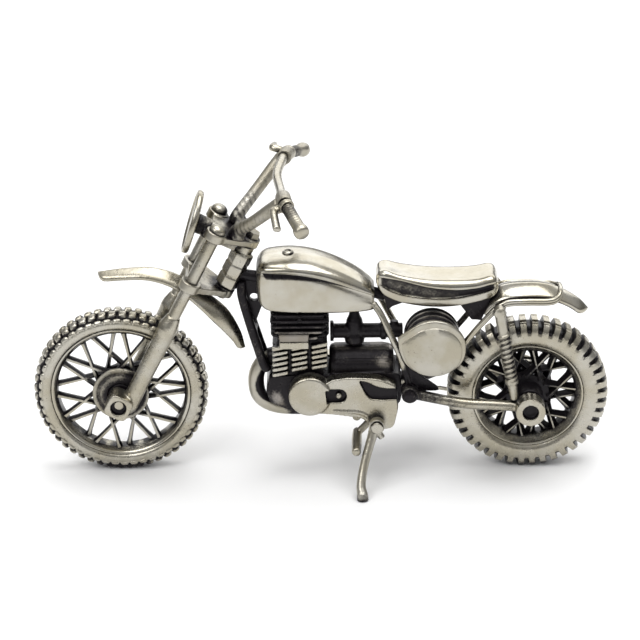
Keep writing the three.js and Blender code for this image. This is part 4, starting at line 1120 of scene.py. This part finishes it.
def seat():
    stations = spline(SEAT, 5)
    rings = []
    for x, top, crease, bottom, w in stations:
        dip = smooth_step(11.7, 13.0, x) * (1 - smooth_step(34, 35, x))
        rail = rail_height(x, crease, bottom)
        dome = top - crease
        half = [(0, bottom), (0.55 * w, bottom), (0.84 * w, bottom + 0.05), (0.94 * w, bottom + 0.35)]
        half += [(0.97 * w, rail - 0.3), (0.95 * w, rail), (0.95 * w - 0.5 * dip, rail + 0.12)]
        half += [(0.93 * w - 0.6 * dip, (rail + crease) / 2), (0.94 * w - 0.5 * dip, crease - 0.2)]
        half += [(0.97 * w, crease - 0.08), (w, crease + 0.15), (0.98 * w, crease + 0.45 * dome)]
        half += [(0.9 * w, crease + 0.8 * dome), (0.7 * w, top), (0.35 * w, top - 0.05), (0, top - 0.1)]
        rings.append(shell_ring(x, half, 3))
    rows = [(row[0], row[2], row[3], row[4]) for row in SEAT]

    def darkness(point):
        for (x0, c0, b0, w0), (x1, c1, b1, w1) in zip(rows, rows[1:]):
            if point.x <= x1:
                t = max((point.x - x0) / (x1 - x0), 0)
                crease, bottom, w = c0 + (c1 - c0) * t, b0 + (b1 - b0) * t, w0 + (w1 - w0) * t
                break
        else:
            return 0
        rail = rail_height(point.x, crease, bottom)
        dip = smooth_step(11.8, 12.5, point.x) * (1 - smooth_step(34.3, 34.9, point.x))
        inside = smooth_step(rail - 0.05, rail + 0.15, point.z)
        inside *= 1 - smooth_step(crease - 0.2, crease, point.z)
        return 0.8 * inside * dip * smooth_step(0.6 * w, 0.7 * w, abs(point.y))

    stand_for("seat", skin(rings), "mirror", angle=60, darkness=darkness)


def rear_fender():
    route = [(31.6, 34.8), (33.8, 38.0), (37, 39.7), (42, 40.1), (46, 39.6), (49.4, 38.1), (51.9, 36.4),
             (53.6, 34.5)]
    widths = [2.6, 3.2, 3.6, 3.7, 3.7, 3.7, 3.6, 3.3, 3.0, 2.85, 2.7]
    form = blade(route, widths, 0.8, lambda t: 0.32, 0.2, (0.6, 2.3))
    below = below_route(route, 0.16)
    stand_for("rear_fender", form, "mirror", angle=55,
              darkness=lambda point: 0.9 * smooth_step(0.5, 0.8, below(point)))


def drum_centre():
    low, high = size("air_box")
    return Vector(((low.x + high.x) / 2, 0, (low.z + high.z) / 2))


def air_box():
    low, high = size("air_box")
    centre = drum_centre()
    r = (high.z - low.z) / 2
    profile = [(0, low.y), (r, low.y)]
    for k in range(3):
        y = low.y + 0.9 + 2.1 * k
        profile += [(r, y), (r - 0.15, y + 0.5), (r - 0.75, y + 0.75), (r - 0.75, y + 1.05)]
        profile.append((r - 0.15, y + 1.3))
    profile += [(r, -0.4), (r - 0.3, -0.2), (3.4, 0.4), (3.4, high.y), (0, high.y)]

    def box_darkness(point):
        return -0.55 * smooth_step(r - 0.12, r, off_axis(point, centre))

    stand_for("air_box", lathe(profile, across(centre.x, centre.z), 72), "black", bevel=0.12,
              darkness=box_darkness)


def side_panel():
    centre = drum_centre()
    corners = [(-7, 2.3), (-4.4, 4.4), (-2.2, 5.6), (0.6, 6), (3.6, 5.1), (5.8, 2.9), (6.5, 0), (5.8, -3),
               (3.4, -5.2), (0.4, -6), (-2.9, -5.4), (-5.4, -3.3), (-6.7, -0.3)]
    outline = [tuple(point) for point in spline([*corners, corners[0]], 6)[:-1]]
    y0, y1 = (corner.y for corner in size("side_panel_left"))
    outer = [(0.96, y1), (1.0, y1 - 0.2), (1.0, y0 + 0.4), (0.985, y0 + 0.26), (0.95, y0 + 0.2)]
    outer.append((0.9, y0 + 0.2))
    disc = ((0.885, y0 + 0.2), (0.87, y0 + 0.1), (0.855, y0 + 0.02), (0.6, y0 + 0.01), (0.3, y0))
    rings = []
    for steps, drop in ((outer, 0), (disc, -0.8)):
        for scale, y in steps:
            rings.append([Vector((centre.x + x * scale, y, centre.z + z * scale + drop * scale))
                          for x, z in outline])

    def step_darkness(point):
        upper = smooth_step(0, 2.5, point.z - centre.z)
        return 0.25 * upper if abs(point.y - y0 - 0.1) < 0.02 else 0

    stand_for("side_panel_left", skin(rings), "satin", angle=45, darkness=step_darkness)


# ---------------------------------------------------------------- engine


def crankcase():
    low, high = size("crankcase")
    outline = [(-10.2, 22.2), (low.x, 18.8), (-10.2, 16.2), (-6, 14.2), (12.4, 13.5), (high.x, 16)]
    outline += [(high.x - 0.1, 22.4), (12, 22.8), (1.6, 22.2)]
    block = prism(rounded(outline, 0.25), -4.35, 4.35)
    drum = [(0, 1.8), (3.0, 1.8), (3.6, 2.1), (3.95, 3.0), (3.95, 12.6), (3.7, 13.9), (3.2, 14.7)]
    drum.append((0, 14.9))
    top = lathe(drum, Matrix.Translation((0, 0, 23.2)) @ Matrix.Rotation(math.pi / 2, 4, "Y"), 64)
    seam = tube([(3.2, -3.45, 25.1), (8, -3.5, 25.15), (13.6, -3.45, 25.1)], 0.28)

    def darkness(point):
        # Painted highlights, as negative darkness: a painted reflection along the gearbox top, a painted
        # glint at its rear and a painted highlight streak at the front.
        painted_crown_highlight = smooth_step(26.2, 26.9, point.z) * smooth_step(-2.2, -1.2, point.y)
        painted_rear_glint = peak((point - Vector((12.6, -3.3, 24.6))).length, 0, 1.3)
        front = peak((point - Vector((-8.6, -4.3, 17.2))).length, 0, 1.4)
        return -0.75 * painted_crown_highlight - 0.5 * painted_rear_glint - 0.45 * front

    cast("crankcase", [block, top, seam], (), "black", 0.18, 3, darkness)


def fin(x0, x1, y0, y1, middle, thick, slant, corner=0.12):
    """One cooling fin with rounded corners, leaning by slant."""
    outline = rounded([(x0, y0), (x1, y0), (x1, y1), (x0, y1)], corner, 5)
    rise = math.tan(slant)
    centre = (x0 + x1) / 2
    low = [Vector((x, y, middle - thick / 2 + rise * (x - centre))) for x, y in outline]
    high = [Vector((x, y, middle + thick / 2 + rise * (x - centre))) for x, y in outline]
    return skin([low, high])


CORE = (-8.6, 0.6)  # the barrel's and the head's solid part, front to back
BARREL_TOP = 30.5


def upright(x0, x1, z0, z1, y0, y1):
    """A square-edged block."""
    return prism([(x0, z0), (x1, z0), (x1, z1), (x0, z1)], y0, y1)


def cylinder_barrel():
    low, high = 22.3, BARREL_TOP
    core = upright(*CORE, low, high, -4.1, 4.25)
    fins = []
    columns = ((-9.65, -6.45, 0.0), (-5.8, -2.55, 0.4), (-1.8, 1.45, 0.0))
    for k in range(6):
        height = low + 1.55 + 1.15 * k
        for x0, x1, shift in columns:
            centre = (x0 + x1) / 2
            middle = height + shift + math.tan(0.2) * (centre + 4.1)
            if middle < high - 0.3:
                fins.append(fin(x0, x1, -5.45, -3.9, middle, 0.68, 0.2, 0.2))
        fins.append(fin(-9.6, 1.4, -3.9, 5.45, height, 0.5, 0.17))
    boss = upright(-8.1, -2.3, 29.1, high, -6.4, -4)
    port = rod((-8, 0, 25.2), (-10.4, 0, 24.6), 1.7)
    above = upright(-12, 4, high, high + 3, -8, 8)

    def darkness(point):
        deep = 1 - smooth_step(4.5, 5.1, abs(point.y))
        inside = 1 - smooth_step(5.2, 5.6, abs(point.x + 4.1))
        back = smooth_step(-3.5, -2.5, point.y)
        return max(0.95 * deep * inside, 0.7 * back)

    cast("cylinder_barrel", [core, *fins, boss, port], [above], "polished", 0.12, 2, darkness=darkness)


def cylinder_head():
    base = BARREL_TOP + 0.06
    top = upright(*CORE, base, 35.7, -4.2, 4.35)
    plates = [prism([(-8.0, base), (-2.4, base), (-2.2, base + 1.5), (-8.2, base + 1.5)], -6.2, -3.5)]
    for k, inset in enumerate((0.45, 0.25, 0.1, 0, 0.2)):
        middle = base + 0.5 + 1.12 * k
        x0, x1 = -9.95 + 3.2 * inset, 1.85 - 5.0 * inset
        plates.append(fin(x0, x1, -5.65 + 0.2 * k, -2.5, middle, 0.5, 0, 0.2))
        plates.append(fin(-9.9, 1.8, -4.6, 5.6, middle, 0.5, 0, 0.2))
    plug = rod((-4, -4, 34.5), (-4, -6.1, 35.2), 0.5, 0.42)

    def upper_darkness(point):
        edge = smooth_step(5.0, 5.5, abs(point.y)) * (1 - smooth_step(base + 1.5, base + 3.8, point.z))
        face = smooth_step(5.75, 6.0, abs(point.y)) * (1 - smooth_step(base + 1.5, base + 1.8, point.z))
        return -0.5 * edge - 0.5 * face

    cast("cylinder_head", [top, *plates, plug], (), "black", 0.12, 2, darkness=upper_darkness)


def carburettor():
    intake = rod((2.0, 0, 30.1), (16.6, 0, 30.1), 1.5)
    flange = rod((2.02, 0, 30.1), (2.7, 0, 30.1), 2.1)
    clip = rod((12.2, 0, 30.1), (13.2, 0, 30.1), 1.9)
    knob = rod((14.9, 0, 30.2), (14.9, 0, 32.2), 0.6, 0.85)
    profile = [(0, 27.4), (1.3, 27.4), (1.8, 27.6), (2, 28), (2, 29.1), (1.7, 30), (1.75, 31.5)]
    profile += [(1.6, 32.6), (1.2, 33.4), (0.95, 34.3), (0.9, 34.6), (0, 34.6)]
    bowl = lathe(profile, Matrix.Translation((6.9, 0, 0)), 40)
    cast("carburettor", [intake, flange, clip, bowl, knob], (), "black", 0.15, 2)


def left_cover():
    outline = rounded([(-5.5, 15.2), (2, 14.8), (8.6, 13.8), (10.4, 10.9), (14.6, 11.6), (15.6, 16.2),
                       (15.2, 21), (11.6, 22.6), (5.6, 23), (1.7, 22.4)], 0.25)
    inner, outer = -4.45, -7.15
    body = prism(outline, outer, inner)
    disc = lathe([(0, inner), (4.25, inner), (4.25, -7.5), (4.05, -7.78), (3.7, -7.88), (0, -7.88)],
                 across(-2.2, 19.0), 72)
    slot = [(3.7 + 1.5 * math.cos(t), 18.9 + 1.5 * math.sin(t))
            for t in (-math.pi / 2 + math.pi * k / 12 for k in range(13))]
    slot += [(0.9, 20.4), (1.2, 17.4)]
    pocket = prism(slot, -9, -6.1)
    patch = rounded([(7.6, 22.3), (9.4, 21.9), (11.2, 20.9), (13, 20.5), (15.9, 20.4), (15.9, 18.1),
                     (12.2, 17.9), (9.9, 18.2), (8.9, 19.4)], 0.22)
    recess = prism(patch, -9, -6.2)
    eye = rod((PIVOT.x, -12, PIVOT.z), (PIVOT.x, 12, PIVOT.z), 1.8)
    rib = tube([(2.5, -6.95, 15.6), (7.5, -7.0, 15.2), (9.5, -7, 14.3)], 0.4)

    def darkness(point):
        sunk = smooth_step(-7.05, -6.5, point.y)
        in_pocket = smooth_step(0.6, 1.0, point.x) * (1 - smooth_step(5.1, 5.35, point.x))
        in_pocket *= smooth_step(17.1, 17.3, point.z) * (1 - smooth_step(20.5, 20.7, point.z))
        in_recess = smooth_step(7.5, 8.2, point.x) * smooth_step(17.7, 17.95, point.z)
        in_recess *= 1 - smooth_step(0, 0.25, point.z - (22.3 - 0.29 * (point.x - 7.6)))
        rear = smooth_step(14.9, 15.5, point.x) * 0.8
        return max(sunk * max(in_pocket, in_recess), rear)

    cast("engine_cover_left", [body, disc, rib], [pocket, recess, eye], "polished", 0.15, 4, darkness)


def cover_bead():
    """A small boss in the left cover's pocket, with no CAD node of its own."""
    ball = tube([(3.55, -6.3, 18.8), (3.65, -6.7, 18.8)], 0.62, 20, 2)
    bead = in_scene("cover_bead", mesh_of("cover_bead", ball))
    shade(bead.data, 60)
    bead.data.materials.append(FINISH["satin"])
    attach(bead, BODY_OF["engine_cover_left"])


def right_cover():
    right = prism(rounded([(-7.2, 16.6), (0, 14.8), (8.4, 14.9), (11.2, 16.6), (11.1, 21.2), (4, 22.6),
                           (-6.4, 22)], 0.25), 4.45, 6.55)
    clutch = lathe([(0, 4.45), (3.95, 4.45), (3.95, 7.2), (3.7, 7.5), (3.2, 7.68), (0, 7.68)],
                   across(2.4, 18.6), 72)
    screws = [rod((x, 6.3, z), (x, 6.85, z), 0.45, 0.4, 12) for x, z in
              ((-6, 17.6), (-5.6, 21), (9.9, 20.4), (9.8, 16.6), (5, 21.8))]
    cast("engine_cover_right", [right, clutch, *screws], (), "polished", 0.15, 2)


def exhaust():
    route = [(-10.2, 0, 24.3), (-12, 0, 23), (-13.1, 0, 19.8), (-12.5, 0, 15.8), (-9.4, 0.3, 13.3),
             (-4, 1.2, 12.1), (3, 3.4, 11.5), (8.5, 6, 11.9), (13.5, 8.6, 13), (16.5, 9.6, 13.9)]
    pipe = tube(route, lambda t: 1.3 + 0.35 * math.sin(math.pi * min(t / 0.55, 1)), 28, 6)
    muffler = lathe([(0, 0), (1.3, 0), (1.75, 0.5), (1.88, 1.2), (1.84, 9.5), (1.6, 11.2), (0.85, 12)],
                    along((15.4, 9.4, 13.6), (27, 11.6, 17.2)), 48)
    outlet = tube([(25, 11.2, 16.6), (28, 11.85, 17.55)], 0.8, 24, 3, blunt=False)
    hole = rod((26.4, 11.5, 17), (29, 12.1, 17.9), 0.5)
    ring = rod((-9.6, 0, 24.8), (-10.9, 0, 23.8), 1.6)

    def darkness(point):
        bend = Vector((point.x + 9.2, 0, point.z - 18.8))
        inner = 1 - smooth_step(3.6, 4.6, bend.length)
        far = smooth_step(-8.5, -5.5, point.x)
        return max(0.9 * inner, 0.85 * far)

    cast("exhaust_pipe", [pipe, muffler, outlet, ring], [hole], "satin", 0.17, 3, darkness)


def footpegs():
    for side, s in SIDES:
        bracket = tube([(10.2, s * 3.9, 12.9), (9.6, s * 3.9, 11.4), (7.4, s * 4, 9)], 0.75, 16)
        peg = tube([(7.3, s * 3.2, 8.9), (7.15, s * 7.5, 8.65), (7, s * 11.3, 8.4)],
                   lambda t: 0.92 + 0.12 * math.sin(math.pi * t))
        cast(f"footpeg_{side}", [bracket, peg], (), "satin", 0.13, 2)


def chain():
    """Rounded links in pairs along both runs and round both sprockets."""
    front = Vector((14.6, 4.73, 19.2))
    back = Vector((REAR.x, 4.73, REAR.z))
    r0, r1 = 2.3 + 0.36, 4.7 + 0.36
    ahead = back - front
    tilt = math.atan2(ahead.z, ahead.x)
    open_angle = math.asin((r1 - r0) / ahead.length)
    up, down = tilt + math.pi / 2 + open_angle, tilt - math.pi / 2 - open_angle
    route = []
    steps = 14
    for k in range(steps + 1):
        turn = up + (2 * math.pi - (up - down)) * k / steps
        route.append(front + polar(r0, turn))
    for k in range(steps + 1):
        turn = down + (up - down) * k / steps
        route.append(back + polar(r1, turn))
    route.append(route[0])
    lengths = distances(route)
    count = 2 * round(lengths[-1] / 1.5 / 2)

    def point_at(distance):
        distance %= lengths[-1]
        for k, (a, b) in enumerate(zip(lengths, lengths[1:])):
            if distance <= b:
                return route[k].lerp(route[k + 1], (distance - a) / (b - a))
        return route[-1]

    pitch = lengths[-1] / count
    forms = []
    for k in range(count):
        a, b = point_at(k * pitch), point_at((k + 1) * pitch)
        inner = 0.1 if k % 2 else 0.2
        middle = (b - a).normalized()
        side = Vector((-middle.z, 0, middle.x))
        outline = []
        for turn in (math.pi * j / 6 for j in range(7)):
            outline.append(b + 0.33 * (side * math.cos(turn) + middle * math.sin(turn)))
        for turn in (math.pi * j / 6 for j in range(7)):
            outline.append(a - 0.33 * (side * math.cos(turn) + middle * math.sin(turn)))
        for offset in (-inner, inner):
            shift = Vector((0, offset, 0))
            thick = Vector((0, 0.05, 0))
            forms.append(skin([[p + shift - thick for p in outline], [p + shift + thick for p in outline]]))
        forms.append(rod(a - Vector((0, 0.26, 0)), a + Vector((0, 0.26, 0)), 0.2, sides=10))
    stand_for("drive_chain", merge(*forms), "satin", angle=35)


def seat_pan():
    lip = [(12.4, 40), (13.5, 35.8), (14.5, 36.7), (16.2, 37.3), (17.6, 38.4)]
    rear = [(27.4, 37.6), (30.2, 33.6), (32.2, 33.4), (34.4, 39.2), (31, 38.4)]
    forms = [prism(lip, -2.9, 2.9), prism(rear, -2.9, 2.9)]
    cast("seat_base", forms, (), "black", 0.16, 2)


def side_stand():
    eye = rod((STAND.x, -9.75, STAND.z), (STAND.x, -8.05, STAND.z), 1.58)
    route = [(STAND.x - 0.5, -8.9, STAND.z - 0.6), (10.0, -9.9, 10.4), (8.5, -12.4, 5.8), (7.9, -14.6, 2.6),
             (8.2, -15.9, 0.9)]
    leg = tube(route, lambda t: 1.12 - 0.22 * math.sin(math.pi * t), 24)
    toe = rod((8.1, -15.7, 1.5), (8.2, -16.05, 0.0), 1.1, 1.18)
    ground = upright(0, 20, -4, 0.02, -22, -8)
    knob = rod((11, -8.9, 12.3), (12.3, -9.2, 10.5), 0.8, 0.66)
    bore = rod((STAND.x, -12, STAND.z), (STAND.x, -6, STAND.z), 0.92)

    def darkness(point):
        lower = 1 - smooth_step(2, 9, point.z)
        hem = 1 - smooth_step(0.0, 0.35, abs(off_axis(point, STAND) - 0.95))
        return 0.12 + 0.2 * lower + 0.5 * hem

    cast("side_stand", [eye, leg, toe, knob], [ground, bore], "satin", 0.13, 3, darkness)
    profile = [(0, -10.55), (0.8, -10.55), (1.1, -10.48), (1.2, -10.22), (0.75, -10.18), (0.75, -6.2)]
    pin = lathe([*profile, (0, -6.2)], across(STAND.x, STAND.z), 40)
    stand_for("stand_pin", pin, "polished", angle=40)


KEPT = {"steering_stem": "rough"}


def carried_over():
    """CAD nodes that keep their shape get rounded edges and one of the finishes."""
    for node, finish in KEPT.items():
        obj = frame["nodes"][node]
        obj.data.materials.clear()
        obj.data.materials.append(FINISH[finish])
        round_edges(obj, 0.12, 2, 35)


# ---------------------------------------------------------------- stage


def stage():
    floor = bpy.data.materials.new("floor")
    floor.use_nodes = True
    shader = floor.node_tree.nodes["Principled BSDF"]
    shader.inputs["Base Color"].default_value = (0.86, 0.86, 0.86, 1)
    shader.inputs["Roughness"].default_value = 0.7
    shader.inputs["Specular IOR Level"].default_value = 0.2
    mesh = bpy.data.meshes.new("floor")
    reach = 3.0
    corners = [(-reach, -reach, 0), (reach, -reach, 0), (reach, reach, 0), (-reach, reach, 0)]
    mesh.from_pydata(corners, [], [(0, 1, 2, 3)])
    mesh.materials.append(floor)
    in_scene("floor", mesh)


def light(name, place, aim, width, height, power):
    data = bpy.data.lights.new(name, "AREA")
    data.shape = "RECTANGLE"
    data.size = width
    data.size_y = height
    data.energy = power
    obj = in_scene(name, data)
    obj.location = place
    obj.rotation_euler = (Vector(aim) - Vector(place)).to_track_quat("-Z", "Y").to_euler()


def studio():
    world = bpy.data.worlds.new("studio")
    bpy.context.scene.world = world
    world.use_nodes = True
    tree = world.node_tree
    background = tree.nodes["Background"]
    direction = tree.nodes.new("ShaderNodeTexCoord").outputs["Generated"]
    split = new_node(tree, "SeparateXYZ", {0: direction})
    colour = tint(tree, ramp(tree, split.outputs["Z"], 0.02, 0.75), (0.17, 0.17, 0.175), (0.62, 0.62, 0.62))
    tree.links.new(colour, background.inputs["Color"])
    background.inputs["Strength"].default_value = 1.0
    middle = (0, 0, 0.03)
    light("key", (-0.3, -0.3, 0.5), middle, 0.4, 0.3, 1.4)
    light("top", (0.1, 0.05, 0.62), middle, 0.6, 0.45, 3.2)
    light("back", (0.1, 0.62, 0.32), middle, 0.9, 0.3, 1.5)
    bpy.context.scene.view_settings.view_transform = "Standard"


LENS = 137.8125  # focal length in mm
DISTANCE = 0.4917
AIM = Vector((0, 0, 0.0325))


def camera():
    """Looks at the left side, almost square to the machine and 25 degrees down."""
    azimuth, elevation, roll = math.radians(-0.3), math.radians(25.3), math.radians(-0.75)
    ahead = Vector((math.sin(azimuth) * math.cos(elevation), math.cos(azimuth) * math.cos(elevation),
                    -math.sin(elevation)))
    right0 = Vector((math.cos(azimuth), -math.sin(azimuth), 0))
    up0 = right0.cross(ahead)
    right = right0 * math.cos(roll) + up0 * math.sin(roll)
    up = up0 * math.cos(roll) - right0 * math.sin(roll)
    data = bpy.data.cameras.new("camera")
    data.sensor_width = 36
    data.lens = LENS
    data.clip_start = 0.01
    obj = in_scene("camera", data)
    turn = Matrix((right, up, -ahead)).transposed().to_4x4()
    obj.matrix_world = Matrix.Translation(AIM - ahead * DISTANCE) @ turn
    bpy.context.scene.camera = obj


# ---------------------------------------------------------------- making

MAKERS = (
    camera, studio, stage, front_wheel, brake_drum, rear_wheel, rear_sprocket, fork_legs,
    front_axle, clamps, plate, front_fender, handlebar, bar_risers, grips, levers, head_tube,
    backbone_tube, downtubes, frame_struts, loop_tube, swingarm_pivot, rear_axle, swingarms,
    shocks, fuel_tank, filler_cap, seat, seat_pan, rear_fender, air_box, side_panel, crankcase,
    cylinder_barrel, cylinder_head, carburettor, left_cover, cover_bead, right_cover, exhaust,
    footpegs, chain, side_stand, carried_over,
)
for make in MAKERS:
    make()
